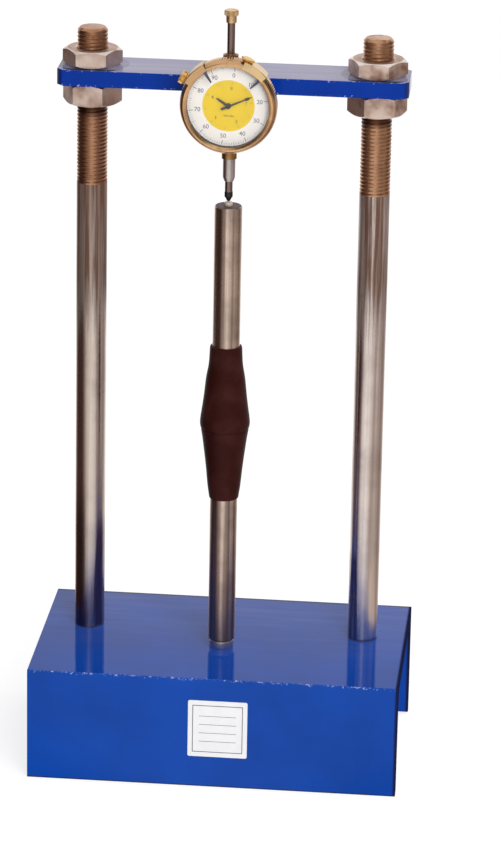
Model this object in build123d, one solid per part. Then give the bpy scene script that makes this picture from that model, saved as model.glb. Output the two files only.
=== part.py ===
from build123d import *
import math
import os

# A height comparator stand: an inverted steel channel carries two threaded pillars, a flat
# crossbar is clamped between nuts on them, and a dial gauge hung in front of the crossbar
# touches the top of a loose reference bar that stands on the channel.
# Millimetres. X runs to the right, Y to the back, Z up. The origin is the centre of the
# channel's footprint, on the surface that it stands on.

# Clearances shared by all pieces
PRESS_CLEARANCE = 0.02
RUNNING_CLEARANCE = 0.06
BOLT_CLEARANCE = 0.3
OVERRUN = 1.0
HALF_TURN = 180.0

# Base channel
PILLAR_SPACING = 186.0
BASE_END_MARGIN = 30.0
BASE_DEPTH = 150.0
BASE_HEIGHT = 77.0
WEB_THICKNESS = 6.0
FLANGE_ROOT_THICKNESS = 10.2
FLANGE_TOE_THICKNESS = 7.8
CHANNEL_ROOT_RADIUS = 9.0
CHANNEL_TOE_RADIUS = 4.0
CHANNEL_EDGE_RADIUS = 0.8

# Label plate on the front flange
LABEL_WIDTH = 39.5
LABEL_HEIGHT = 40.0
LABEL_THICKNESS = 0.4
LABEL_TOP_MARGIN = 15.3
LABEL_OFFSET = 4.2
LABEL_CORNER_RADIUS = 1.2

# Pillars and their feet
PILLAR_SETBACK = 15.0
PILLAR_RADIUS = 10.0
PILLAR_STUD_PROUD = 13.6
PILLAR_THREAD_BELOW_BAR = 68.4
PILLAR_END_CHAMFER = 1.8
THREAD_PITCH = 2.5
THREAD_DEPTH = 1.4
THREAD_CREST_SHARE = 0.2
THREAD_ROOT_SHARE = 0.2
SPIGOT_RADIUS = 8.0
SPIGOT_LENGTH = 26.0
SPIGOT_PITCH = 2.0
SPIGOT_THREAD_DEPTH = 1.1
FOOT_WASHER_RADIUS = 15.0
FOOT_WASHER_THICKNESS = 3.0
FOOT_NUT_ACROSS_FLATS = 24.0
FOOT_NUT_HEIGHT = 13.0

# Anvil seat under the reference bar
ANVIL_RADIUS = 6.6
ANVIL_HEIGHT = 5.5
ANVIL_CHAMFER = 0.6
ANVIL_STUD_RADIUS = 4.0
ANVIL_STUD_LENGTH = 17.0
ANVIL_WASHER_RADIUS = 8.0
ANVIL_WASHER_THICKNESS = 1.6
ANVIL_NUT_ACROSS_FLATS = 13.0
ANVIL_NUT_HEIGHT = 6.5

# Reference bar
BAR_RADIUS = 9.0
BAR_LENGTH = 302.0
BAR_END_CHAMFER = 0.8
NOSE_RADIUS = 2.8
NOSE_HEIGHT = 2.4
NOSE_STUD_RADIUS = 2.0
NOSE_STUD_LENGTH = 8.0
NOSE_CHAMFER = 0.4
GRIP_START = 100.8
GRIP_LENGTH = 105.7
GRIP_FOOT_RADIUS = 10.1
GRIP_SHOULDER_RADIUS = 11.5
GRIP_SHOULDER_LENGTH = 8.0
GRIP_CREST_RADIUS = 16.4
GRIP_CREST_AT = 53.0
GRIP_CREST_HALF_WIDTH = 10.5
GRIP_CREST_SHARE = 0.91
GRIP_TOP_RADIUS = 11.1
GRIP_END_CHAMFER = 0.7

# Crossbar and its clamping nuts
CROSSBAR_END_MARGIN = 21.2
CROSSBAR_WIDTH = 40.0
CROSSBAR_THICKNESS = 11.0
CROSSBAR_CORNER_CHAMFER = 4.6
CROSSBAR_EDGE_RADIUS = 0.6
NUT_ACROSS_FLATS = 34.0
NUT_CHAMFER_ANGLE = 30.0
NUT_CHAMFER_SHARE = 0.97
NUT_MOUTH_CHAMFER = 1.0
UPPER_NUT_HEIGHT = 11.0
LOWER_NUT_HEIGHT = 14.5
NUT_TURNS = {
    "upper_nut_left": 3.0,
    "upper_nut_right": -6.0,
    "lower_nut_left": -4.0,
    "lower_nut_right": 9.0,
}

# Lug and lug screw, which hang the dial gauge under the crossbar
LUG_THICKNESS = 6.5
LUG_HALF_WIDTH = 7.0
LUG_REACH = 9.5
LUG_SCREW_RADIUS = 3.0
LUG_SCREW_HEAD_ACROSS_FLATS = 10.0
LUG_SCREW_HEAD_HEIGHT = 4.0
LUG_NUT_HEIGHT = 5.0
LUG_SCREW_PROUD = 1.5

# Dial gauge case. "Front" lengths are measured from the stem axis towards the viewer.
CROSSBAR_TO_COVER_GAP = 0.5
CASE_BACK_DEPTH = 7.0
BACK_COVER_THICKNESS = 1.5
CASE_RADIUS = 27.5
CASE_REAR_WALL = 3.5
CASE_FRONT_WALL = 1.9
CASE_LEDGE_FRONT = 3.0
CASE_RIM_FRONT = 9.9
LOWER_BOSS_RADIUS = 4.9
LOWER_BOSS_LENGTH = 10.2
UPPER_BOSS_RADIUS = 4.95
UPPER_BOSS_LENGTH = 3.7
BACK_SCREW_RADIUS = 0.8
BACK_SCREW_LENGTH = 5.0
BACK_SCREW_HEAD_RADIUS = 1.5
BACK_SCREW_HEAD_HEIGHT = 0.7
BACK_SCREW_ANGLES = (45.0, 135.0, 225.0, 315.0)

# Stem, bush, spindle and what it carries
STEM_RADIUS = 4.0
STEM_LENGTH = 16.8
STEM_END_CHAMFER = 0.4
UPPER_BUSH_RADIUS = 3.6
UPPER_BUSH_PROUD = 0.6
SPINDLE_RADIUS = 2.5
SPINDLE_LOWER_PROUD = 5.5
SPINDLE_UPPER_PROUD = 26.0
SPINDLE_TRAVEL = 5.0
CONTACT_LENGTH = 6.6
CONTACT_BODY_LENGTH = 3.2
CONTACT_BODY_RADIUS = 2.7
CONTACT_BALL_RADIUS = 1.5
CONTACT_STUD_RADIUS = 1.2
CONTACT_STUD_LENGTH = 4.0
CONTACT_GAP = 0.3
CAP_RADIUS = 4.5
CAP_DISC_HEIGHT = 3.6
CAP_COLLAR_RADIUS = 3.5
CAP_COLLAR_HEIGHT = 4.6
CAP_EDGE_CHAMFER = 0.4

# Guide pin, guide block and return spring
GUIDE_PIN_RADIUS = 0.8
GUIDE_PIN_REACH = 11.0
GUIDE_PIN_RISE = 4.0
GUIDE_PIN_DEPTH = 1.4
GUIDE_BLOCK_NEAR = 4.4
GUIDE_BLOCK_WIDTH = 2.6
GUIDE_BLOCK_REAR = 2.8
GUIDE_BLOCK_END = 3.0
SPRING_OFFSET = 9.4
SPRING_ANCHOR_DROP = 18.0
SPRING_RADIUS = 1.6
SPRING_BORE_RADIUS = 0.8
SPRING_WIRE_PITCH = 0.8
SPRING_GROOVE_DEPTH = 0.3
SPRING_EYE_RADIUS = 1.3
SPRING_EYE_WIRE_RADIUS = 0.25
SPRING_ANCHOR_TAIL = 1.2

# Movement: plates, posts and gear train
PLATE_CLEARANCE = 0.2
MAIN_PLATE_THICKNESS = 1.0
TOP_PLATE_FRONT = 9.0
TOP_PLATE_THICKNESS = 0.8
POST_RADIUS = 1.2
POST_WALL_MARGIN = 3.2
POST_ANGLES = (30.0, 170.0, 250.0)
POST_SCREW_RADIUS = 0.6
POST_SCREW_LENGTH = 2.4
POST_SCREW_HEAD_RADIUS = 1.1
POST_SCREW_HEAD_HEIGHT = 0.4
GEAR_PITCH = 0.625
GEAR_TIP_SHARE = 0.11
GEAR_ROOT_SHARE = 0.29
GEAR_ADDENDUM_SHARE = 0.95
GEAR_DEDENDUM_SHARE = 1.3
RACK_PITCH_LINE = 1.6
RACK_PINION_TEETH = 16
WHEEL_TEETH = 100
CENTRE_PINION_TEETH = 10
COUNTER_TEETH = 55
WHEEL_FRONT = 5.0
WHEEL_THICKNESS = 0.8
WHEEL_WINDOW_RADIUS = 2.6
WHEEL_WINDOW_RING_RADIUS = 5.8
WHEEL_WINDOWS = 4
COUNTER_WHEEL_FRONT = 6.8
COUNTER_WHEEL_THICKNESS = 0.6
PINION_MARGIN = 0.4
RACK_PINION_HALF_WIDTH = 1.2
RACK_PINION_TAIL = 1.0
ARBOR_RADIUS = 0.5
TAKE_UP_ANGLE = 315.0
COUNTER_TUBE_RADIUS = 0.95
HAIRSPRING_TURNS = 5
HAIRSPRING_START_RADIUS = 1.2
HAIRSPRING_PITCH = 0.55
HAIRSPRING_THICKNESS = 0.14
HAIRSPRING_FRONT = 6.3
HAIRSPRING_WIDTH = 0.6
HAIRSPRING_COLLET_RADIUS = 1.2

# Dial face, hands, crystal and bezel
FACE_CLEARANCE = 0.08
FACE_FRONT = 10.5
FACE_THICKNESS = 0.6
FACE_HOLE_RADIUS = 1.8
COUNTER_HAND_FRONT = 11.9
COUNTER_HAND_LENGTH = 9.4
COUNTER_HAND_ANGLE = 147.0
POINTER_FRONT = 12.9
POINTER_LENGTH = 17.0
POINTER_TAIL = 4.5
POINTER_ANGLE = 24.0
HAND_THICKNESS = 0.3
HAND_ROOT_HALF_WIDTH = 0.75
HAND_TIP_HALF_WIDTH = 0.25
HAND_HUB_RADIUS = 1.7
HAND_HUB_HEIGHT = 0.7
CRYSTAL_FRONT = 14.3
CRYSTAL_THICKNESS = 1.5
SPACER_WALL = 0.9
BEZEL_WALL = 3.92
BEZEL_REAR_FRONT = 6.0
BEZEL_BORE_CLEARANCE = 0.08
BEZEL_LIP_REACH = 1.08
BEZEL_LIP_THICKNESS = 0.8
BEZEL_SHOULDER_WIDTH = 1.9
BEZEL_SHOULDER_DROP = 2.6
BEZEL_REAR_CHAMFER = 0.7
SNAP_RING_FRONT = 8.0
SNAP_RING_HALF_WIDTH = 0.4
SNAP_RING_DEPTH = 0.6
SNAP_RING_HEIGHT = 0.5

# Limit clips on the bezel
CLIP_ANGLES = {"limit_clip_left": 123.0, "limit_clip_right": 43.3}
CLIP_TAB_REACHES = {"limit_clip_left": 5.6, "limit_clip_right": 2.4}
CLIP_GAP = 0.1
CLIP_PLATE = 0.7
CLIP_WALL = 0.8
CLIP_LIP_REACH = 3.9
CLIP_HOOK_REACH = 1.5
CLIP_LEAD_ANGLE = 3.0
CLIP_SPAN_ANGLE = 29.0
CLIP_BLADE_REACH = 6.9
CLIP_BLADE_HALF_WIDTH = 0.9
CLIP_BLADE_TIP_HALF_WIDTH = 0.5
CLIP_TAB_ANGLE = 24.0
CLIP_TAB_HALF_WIDTH = 4.2
CLIP_TAB_REAR = 10.4
CLIP_TAB_THICKNESS = 3.2
CLIP_TAB_RIB_PITCH = 1.2
CLIP_TAB_RIB_DEPTH = 0.35
CLIP_TAB_RIB_SHARE = 0.5

# Places worked out from the sizes above
LOWER_BOSS_DROP = CASE_RADIUS + LOWER_BOSS_LENGTH
UPPER_BOSS_RISE = CASE_RADIUS + UPPER_BOSS_LENGTH
STEM_DROP = LOWER_BOSS_DROP + STEM_LENGTH
SPINDLE_DROP = STEM_DROP + SPINDLE_LOWER_PROUD
SPINDLE_RISE = UPPER_BOSS_RISE + SPINDLE_UPPER_PROUD
BASE_LENGTH = PILLAR_SPACING + 2 * BASE_END_MARGIN
WEB_UNDERSIDE = BASE_HEIGHT - WEB_THICKNESS
BAR_BOTTOM = BASE_HEIGHT + ANVIL_HEIGHT
BAR_TOP = BAR_BOTTOM + BAR_LENGTH
CONTACT_BOTTOM = BAR_TOP + NOSE_HEIGHT + CONTACT_GAP
DIAL_Z = CONTACT_BOTTOM + CONTACT_LENGTH + SPINDLE_DROP
CROSSBAR_UNDERSIDE = DIAL_Z + LUG_THICKNESS / 2
CROSSBAR_TOP = CROSSBAR_UNDERSIDE + CROSSBAR_THICKNESS
CROSSBAR_LENGTH = PILLAR_SPACING + 2 * CROSSBAR_END_MARGIN
PILLAR_TOP = CROSSBAR_TOP + UPPER_NUT_HEIGHT + PILLAR_STUD_PROUD
THREAD_BOTTOM = CROSSBAR_UNDERSIDE - PILLAR_THREAD_BELOW_BAR
COVER_REAR_DEPTH = CASE_BACK_DEPTH + BACK_COVER_THICKNESS
STEM_Y = PILLAR_SETBACK - CROSSBAR_WIDTH / 2 - CROSSBAR_TO_COVER_GAP - COVER_REAR_DEPTH
LUG_HOLE_DEPTH = COVER_REAR_DEPTH + LUG_REACH
LUG_SCREW_Y = STEM_Y + LUG_HOLE_DEPTH
PILLAR_PLACES = {"left": -PILLAR_SPACING / 2, "right": PILLAR_SPACING / 2}
CASE_REAR_BORE = CASE_RADIUS - CASE_REAR_WALL
CASE_FRONT_BORE = CASE_RADIUS - CASE_FRONT_WALL
CASE_SCREW_RING = CASE_RADIUS - CASE_REAR_WALL / 2
BOSS_ROOT = CASE_RADIUS - CASE_FRONT_WALL / 2
STEM_SEAT = CASE_FRONT_BORE + PRESS_CLEARANCE
MAIN_PLATE_FRONT = CASE_LEDGE_FRONT + MAIN_PLATE_THICKNESS
GEAR_MODULE = GEAR_PITCH / math.pi
RACK_PINION_RADIUS = RACK_PINION_TEETH * GEAR_MODULE / 2
TRAIN_CENTRES = (WHEEL_TEETH + CENTRE_PINION_TEETH) * GEAR_MODULE / 2
TRAIN_X = -RACK_PITCH_LINE - RACK_PINION_RADIUS
TRAIN_Z = math.sqrt(TRAIN_CENTRES**2 - TRAIN_X**2)
TRAIN_ANGLE = math.degrees(math.atan2(TRAIN_Z, TRAIN_X))
TAKE_UP_X = TRAIN_CENTRES * math.cos(math.radians(TAKE_UP_ANGLE))
TAKE_UP_Z = TRAIN_CENTRES * math.sin(math.radians(TAKE_UP_ANGLE))
POST_RING_RADIUS = CASE_FRONT_BORE - POST_WALL_MARGIN
BEZEL_BORE = CASE_RADIUS + BEZEL_BORE_CLEARANCE
BEZEL_RADIUS = BEZEL_BORE + BEZEL_WALL
BEZEL_LIP_RADIUS = BEZEL_BORE - BEZEL_LIP_REACH
BEZEL_CREST_RADIUS = BEZEL_RADIUS - BEZEL_SHOULDER_WIDTH
FACE_RADIUS = BEZEL_BORE - FACE_CLEARANCE
CLIP_LIP_RADIUS = BEZEL_RADIUS - CLIP_LIP_REACH
CLIP_HOOK_RADIUS = BEZEL_RADIUS - CLIP_HOOK_REACH
CLIP_BLADE_TIP_RADIUS = BEZEL_LIP_RADIUS - CLIP_BLADE_REACH
BEZEL_SEAT_FRONT = CRYSTAL_FRONT + CRYSTAL_THICKNESS
BEZEL_FRONT = BEZEL_SEAT_FRONT + BEZEL_LIP_THICKNESS

DIAL_AXIS = Axis((0, 0, DIAL_Z), (0, -1, 0))
ON_FLOOR = (Align.CENTER, Align.CENTER, Align.MIN)


def save(node, *solids):
    """Write one node, as one solid or as a group of separate ones."""
    os.makedirs("parts", exist_ok=True)
    shape = solids[0] if len(solids) == 1 else Compound(children=list(solids))
    export_step(shape, "parts/" + node + ".step")


def along_z(radius, bottom, top, x=0, y=0):
    """Upright cylinder between two heights."""
    return Pos(x, y, bottom) * Cylinder(radius, top - bottom, align=ON_FLOOR)


def along_y(radius, rear, front, x=0, z=0):
    """Cylinder along the dial's axis, between two distances in front of the stem axis."""
    place = Pos(x, STEM_Y - front, DIAL_Z + z) * Rot(-90, 0, 0)
    return place * Cylinder(radius, front - rear, align=ON_FLOOR)


def along_x(radius, near, far, y, z):
    """Cylinder along X between two places."""
    return Pos(near, y, z) * Rot(0, 90, 0) * Cylinder(radius, far - near, align=ON_FLOOR)


def block(x_range, y_range, z_range):
    """Box between two places on each axis."""
    low, high = zip(x_range, y_range, z_range)
    sizes = [top - bottom for bottom, top in zip(low, high)]
    corner = (Align.MIN, Align.MIN, Align.MIN)
    return Pos(*low) * Box(*sizes, align=corner)


def turned_z(outline, x=0, y=0):
    """Solid turned about an upright axis from (radius, height) points."""
    face = make_face(Polyline(*[(radius, 0, height) for radius, height in outline], close=True))
    return Pos(x, y, 0) * revolve(face, axis=Axis.Z)


def turned_dial(outline, arc=360):
    """Solid turned about the dial's axis from (radius, front) points."""
    points = [(radius, STEM_Y - front, DIAL_Z) for radius, front in outline]
    face = make_face(Polyline(*points, close=True))
    return revolve(face, axis=DIAL_AXIS, revolution_arc=arc)


def thread_outline(radius, pitch, depth, bottom, top):
    """Points of a ring-grooved thread from bottom to top, starting and ending on the crest."""
    count = int((top - bottom) / pitch)
    crest = pitch * THREAD_CREST_SHARE
    root = pitch * THREAD_ROOT_SHARE
    flank = (pitch - crest - root) / 2
    points = []
    for ring in range(count):
        start = bottom + ring * pitch
        points.append((radius, start))
        points.append((radius, start + crest))
        points.append((radius - depth, start + crest + flank))
        points.append((radius - depth, start + crest + flank + root))
    points.append((radius, bottom + count * pitch))
    return points


def hex_nut(across_flats, bottom, height, bore, x, y, turn=0):
    """Hexagonal nut, chamfered at both ends, with a plain running bore."""
    flat_radius = across_flats / 2
    corner_radius = flat_radius / math.cos(math.pi / 6)
    prism = extrude(RegularPolygon(corner_radius, 6), amount=height)
    end_radius = flat_radius * NUT_CHAMFER_SHARE
    drop = (corner_radius - end_radius) * math.tan(math.radians(NUT_CHAMFER_ANGLE))
    outline = [
        (0, 0),
        (end_radius, 0),
        (corner_radius, drop),
        (corner_radius, height - drop),
        (end_radius, height),
        (0, height),
    ]
    mouth = min(NUT_MOUTH_CHAMFER, height / 4)
    hole = [
        (0, 0),
        (bore + mouth, 0),
        (bore, mouth),
        (bore, height - mouth),
        (bore + mouth, height),
        (0, height),
    ]
    nut = (prism & turned_z(outline)) - turned_z(hole)
    return Pos(x, y, bottom) * Rot(0, 0, turn) * nut


def washer(radius, bore, bottom, thickness, x, y):
    """Plain washer."""
    return along_z(radius, bottom, bottom + thickness, x, y) - along_z(
        bore, bottom - OVERRUN, bottom + thickness + OVERRUN, x, y
    )


def polar(radius, angle):
    """Point at an angle seen from the front, counter-clockwise from the right."""
    turn = math.radians(angle)
    return radius * math.cos(turn), radius * math.sin(turn)


def gear(teeth, phase, rear, front, x=0, z=0):
    """Gear about an axis at (x, z) from the dial's centre, one tooth centred on phase."""
    pitch_radius = teeth * GEAR_MODULE / 2
    tip_radius = pitch_radius + GEAR_MODULE * GEAR_ADDENDUM_SHARE
    root_radius = pitch_radius - GEAR_MODULE * GEAR_DEDENDUM_SHARE
    step = 360 / teeth
    corners = [
        (root_radius, -GEAR_ROOT_SHARE),
        (tip_radius, -GEAR_TIP_SHARE),
        (tip_radius, GEAR_TIP_SHARE),
        (root_radius, GEAR_ROOT_SHARE),
    ]
    points = []
    for tooth in range(teeth):
        for radius, share in corners:
            across, up = polar(radius, phase + (tooth + share) * step)
            points.append((x + across, STEM_Y - rear, DIAL_Z + z + up))
    face = make_face(Polyline(*points, close=True))
    return extrude(face, amount=front - rear, dir=(0, -1, 0))


def mesh_phase(phase, teeth, mate_teeth, direction):
    """Tooth angle of a mate lying in a direction, so that its gap takes the gear's tooth."""
    offset = (phase - direction) % (360 / teeth)
    return direction + HALF_TURN - offset * teeth / mate_teeth + HALF_TURN / mate_teeth


def make_base_channel():
    """Inverted steel channel with the holes for the pillars and the anvil stud."""
    half_depth = BASE_DEPTH / 2
    inner_root = half_depth - FLANGE_ROOT_THICKNESS
    inner_toe = half_depth - FLANGE_TOE_THICKNESS
    section = make_face(
        Polyline(
            (0, -half_depth, 0),
            (0, -half_depth, BASE_HEIGHT),
            (0, half_depth, BASE_HEIGHT),
            (0, half_depth, 0),
            (0, inner_toe, 0),
            (0, inner_root, WEB_UNDERSIDE),
            (0, -inner_root, WEB_UNDERSIDE),
            (0, -inner_toe, 0),
            close=True,
        )
    )
    channel = Pos(-BASE_LENGTH / 2, 0, 0) * extrude(section, amount=BASE_LENGTH, dir=(1, 0, 0))

    def long_edges(y, z):
        """Edges along the channel that run through one corner of the section."""
        found = []
        for edge in channel.edges().filter_by(Axis.X):
            centre = edge.center()
            if abs(abs(centre.Y) - y) < OVERRUN / 2 and abs(centre.Z - z) < OVERRUN / 2:
                found.append(edge)
        return found

    channel = fillet(long_edges(inner_root, WEB_UNDERSIDE), CHANNEL_ROOT_RADIUS)
    channel = fillet(long_edges(inner_toe, 0), CHANNEL_TOE_RADIUS)
    channel = fillet(long_edges(half_depth, BASE_HEIGHT), CHANNEL_EDGE_RADIUS)
    low, high = WEB_UNDERSIDE - OVERRUN, BASE_HEIGHT + OVERRUN
    for x in PILLAR_PLACES.values():
        channel -= along_z(SPIGOT_RADIUS + PRESS_CLEARANCE, low, high, x, PILLAR_SETBACK)
    return channel - along_z(ANVIL_STUD_RADIUS + PRESS_CLEARANCE, low, high, 0, STEM_Y)


def make_label_plate():
    """Thin blank plate stuck on the front flange."""
    plate = Box(LABEL_WIDTH, LABEL_THICKNESS, LABEL_HEIGHT)
    plate = fillet(plate.edges().filter_by(Axis.Y), LABEL_CORNER_RADIUS)
    height = BASE_HEIGHT - LABEL_TOP_MARGIN - LABEL_HEIGHT / 2
    return Pos(LABEL_OFFSET, -BASE_DEPTH / 2 - LABEL_THICKNESS / 2, height) * plate


def make_pillar(x):
    """Pillar with a threaded top, and a threaded spigot that goes down through the web."""
    spigot_bottom = WEB_UNDERSIDE - SPIGOT_LENGTH
    outline = [(0, spigot_bottom)]
    outline += thread_outline(
        SPIGOT_RADIUS, SPIGOT_PITCH, SPIGOT_THREAD_DEPTH, spigot_bottom, WEB_UNDERSIDE
    )
    outline += [(SPIGOT_RADIUS, BASE_HEIGHT), (PILLAR_RADIUS, BASE_HEIGHT)]
    thread_top = PILLAR_TOP - PILLAR_END_CHAMFER
    outline += thread_outline(
        PILLAR_RADIUS, THREAD_PITCH, THREAD_DEPTH, THREAD_BOTTOM, thread_top
    )
    outline += [
        (PILLAR_RADIUS, thread_top),
        (PILLAR_RADIUS - PILLAR_END_CHAMFER, PILLAR_TOP),
        (0, PILLAR_TOP),
    ]
    return turned_z(outline, x, PILLAR_SETBACK)


def make_foot_washers():
    """Washers under the web, one at each pillar."""
    bore = SPIGOT_RADIUS + BOLT_CLEARANCE
    bottom = WEB_UNDERSIDE - FOOT_WASHER_THICKNESS
    return [
        washer(FOOT_WASHER_RADIUS, bore, bottom, FOOT_WASHER_THICKNESS, x, PILLAR_SETBACK)
        for x in PILLAR_PLACES.values()
    ]


def make_foot_nuts():
    """Nuts that pull the pillars down on the web."""
    bottom = WEB_UNDERSIDE - FOOT_WASHER_THICKNESS - FOOT_NUT_HEIGHT
    bore = SPIGOT_RADIUS + RUNNING_CLEARANCE
    return [
        hex_nut(FOOT_NUT_ACROSS_FLATS, bottom, FOOT_NUT_HEIGHT, bore, x, PILLAR_SETBACK)
        for x in PILLAR_PLACES.values()
    ]


def make_anvil_seat():
    """Round seat under the reference bar, with its stud through the web."""
    stud_bottom = WEB_UNDERSIDE - ANVIL_STUD_LENGTH
    outline = [
        (0, stud_bottom),
        (ANVIL_STUD_RADIUS, stud_bottom),
        (ANVIL_STUD_RADIUS, BASE_HEIGHT),
        (ANVIL_RADIUS, BASE_HEIGHT),
        (ANVIL_RADIUS, BAR_BOTTOM - ANVIL_CHAMFER),
        (ANVIL_RADIUS - ANVIL_CHAMFER, BAR_BOTTOM),
        (0, BAR_BOTTOM),
    ]
    return turned_z(outline, 0, STEM_Y)


def make_anvil_washer():
    """Washer under the web at the anvil stud."""
    bottom = WEB_UNDERSIDE - ANVIL_WASHER_THICKNESS
    bore = ANVIL_STUD_RADIUS + BOLT_CLEARANCE
    return washer(ANVIL_WASHER_RADIUS, bore, bottom, ANVIL_WASHER_THICKNESS, 0, STEM_Y)


def make_anvil_nut():
    """Nut under the web at the anvil stud."""
    bottom = WEB_UNDERSIDE - ANVIL_WASHER_THICKNESS - ANVIL_NUT_HEIGHT
    bore = ANVIL_STUD_RADIUS + RUNNING_CLEARANCE
    return hex_nut(ANVIL_NUT_ACROSS_FLATS, bottom, ANVIL_NUT_HEIGHT, bore, 0, STEM_Y)


def make_reference_bar():
    """Ground steel bar with a tapped hole for its nose in the top end."""
    outline = [
        (0, BAR_BOTTOM),
        (BAR_RADIUS - BAR_END_CHAMFER, BAR_BOTTOM),
        (BAR_RADIUS, BAR_BOTTOM + BAR_END_CHAMFER),
        (BAR_RADIUS, BAR_TOP - BAR_END_CHAMFER),
        (BAR_RADIUS - BAR_END_CHAMFER, BAR_TOP),
        (0, BAR_TOP),
    ]
    hole = along_z(
        NOSE_STUD_RADIUS + PRESS_CLEARANCE,
        BAR_TOP - NOSE_STUD_LENGTH - PRESS_CLEARANCE,
        BAR_TOP + OVERRUN,
        0,
        STEM_Y,
    )
    return turned_z(outline, 0, STEM_Y) - hole


def make_bar_nose():
    """Hard nose on top of the bar, which the gauge touches."""
    top = BAR_TOP + NOSE_HEIGHT
    outline = [
        (0, BAR_TOP - NOSE_STUD_LENGTH),
        (NOSE_STUD_RADIUS, BAR_TOP - NOSE_STUD_LENGTH),
        (NOSE_STUD_RADIUS, BAR_TOP),
        (NOSE_RADIUS, BAR_TOP),
        (NOSE_RADIUS, top - NOSE_CHAMFER),
        (NOSE_RADIUS - NOSE_CHAMFER, top),
        (0, top),
    ]
    return turned_z(outline, 0, STEM_Y)


def make_bar_grip():
    """Heat-insulating sleeve on the bar: two slim cones and a rounded crest between them."""
    bottom = BAR_BOTTOM + GRIP_START
    top = bottom + GRIP_LENGTH
    crest = bottom + GRIP_CREST_AT
    flank_radius = GRIP_CREST_RADIUS * GRIP_CREST_SHARE
    bore = BAR_RADIUS + PRESS_CLEARANCE
    crest_low = (flank_radius, 0, crest - GRIP_CREST_HALF_WIDTH)
    crest_high = (flank_radius, 0, crest + GRIP_CREST_HALF_WIDTH)
    lower = Polyline(
        (bore, 0, bottom),
        (GRIP_FOOT_RADIUS, 0, bottom),
        (GRIP_SHOULDER_RADIUS, 0, bottom + GRIP_SHOULDER_LENGTH),
        crest_low,
    )
    swell = ThreePointArc(crest_low, (GRIP_CREST_RADIUS, 0, crest), crest_high)
    upper = Polyline(
        crest_high,
        (GRIP_TOP_RADIUS, 0, top - GRIP_END_CHAMFER),
        (GRIP_TOP_RADIUS - GRIP_END_CHAMFER, 0, top),
        (bore, 0, top),
        (bore, 0, bottom),
    )
    face = make_face(lower.edges() + swell.edges() + upper.edges())
    return Pos(0, STEM_Y, 0) * revolve(face, axis=Axis.Z)


def make_crossbar():
    """Flat bar with clipped corners, two pillar holes and the lug screw's hole."""
    bar = block(
        (-CROSSBAR_LENGTH / 2, CROSSBAR_LENGTH / 2),
        (PILLAR_SETBACK - CROSSBAR_WIDTH / 2, PILLAR_SETBACK + CROSSBAR_WIDTH / 2),
        (CROSSBAR_UNDERSIDE, CROSSBAR_TOP),
    )
    bar = chamfer(bar.edges().filter_by(Axis.Z), CROSSBAR_CORNER_CHAMFER)
    rims = bar.faces().sort_by(Axis.Z)[-1].edges() + bar.faces().sort_by(Axis.Z)[0].edges()
    bar = fillet(rims, CROSSBAR_EDGE_RADIUS)
    low, high = CROSSBAR_UNDERSIDE - OVERRUN, CROSSBAR_TOP + OVERRUN
    for x in PILLAR_PLACES.values():
        bar -= along_z(PILLAR_RADIUS + BOLT_CLEARANCE, low, high, x, PILLAR_SETBACK)
    return bar - along_z(LUG_SCREW_RADIUS + BOLT_CLEARANCE, low, high, 0, LUG_SCREW_Y)


def make_clamp_nut(node):
    """One of the four nuts that clamp the crossbar on the pillars."""
    x = PILLAR_PLACES[node.split("_")[-1]]
    upper = node.startswith("upper")
    height = UPPER_NUT_HEIGHT if upper else LOWER_NUT_HEIGHT
    bottom = CROSSBAR_TOP if upper else CROSSBAR_UNDERSIDE - LOWER_NUT_HEIGHT
    bore = PILLAR_RADIUS + RUNNING_CLEARANCE
    return hex_nut(NUT_ACROSS_FLATS, bottom, height, bore, x, PILLAR_SETBACK, NUT_TURNS[node])


def make_lug_screw():
    """Hexagon-headed screw down through the crossbar and the lug."""
    lug_bottom = CROSSBAR_UNDERSIDE - LUG_THICKNESS
    bottom = lug_bottom - LUG_NUT_HEIGHT - LUG_SCREW_PROUD
    head_radius = LUG_SCREW_HEAD_ACROSS_FLATS / 2 / math.cos(math.pi / 6)
    head = extrude(RegularPolygon(head_radius, 6), amount=LUG_SCREW_HEAD_HEIGHT)
    shank = along_z(LUG_SCREW_RADIUS, bottom, CROSSBAR_TOP, 0, LUG_SCREW_Y)
    return shank + Pos(0, LUG_SCREW_Y, CROSSBAR_TOP) * head


def make_lug_nut():
    """Nut under the lug."""
    bottom = CROSSBAR_UNDERSIDE - LUG_THICKNESS - LUG_NUT_HEIGHT
    bore = LUG_SCREW_RADIUS + RUNNING_CLEARANCE
    return hex_nut(
        LUG_SCREW_HEAD_ACROSS_FLATS, bottom, LUG_NUT_HEIGHT, bore, 0, LUG_SCREW_Y
    )


def screw_ring(radius, rear, front):
    """Cylinders at the four back cover screws."""
    places = [polar(CASE_SCREW_RING, angle) for angle in BACK_SCREW_ANGLES]
    return [along_y(radius, rear, front, x, z) for x, z in places]


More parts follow.
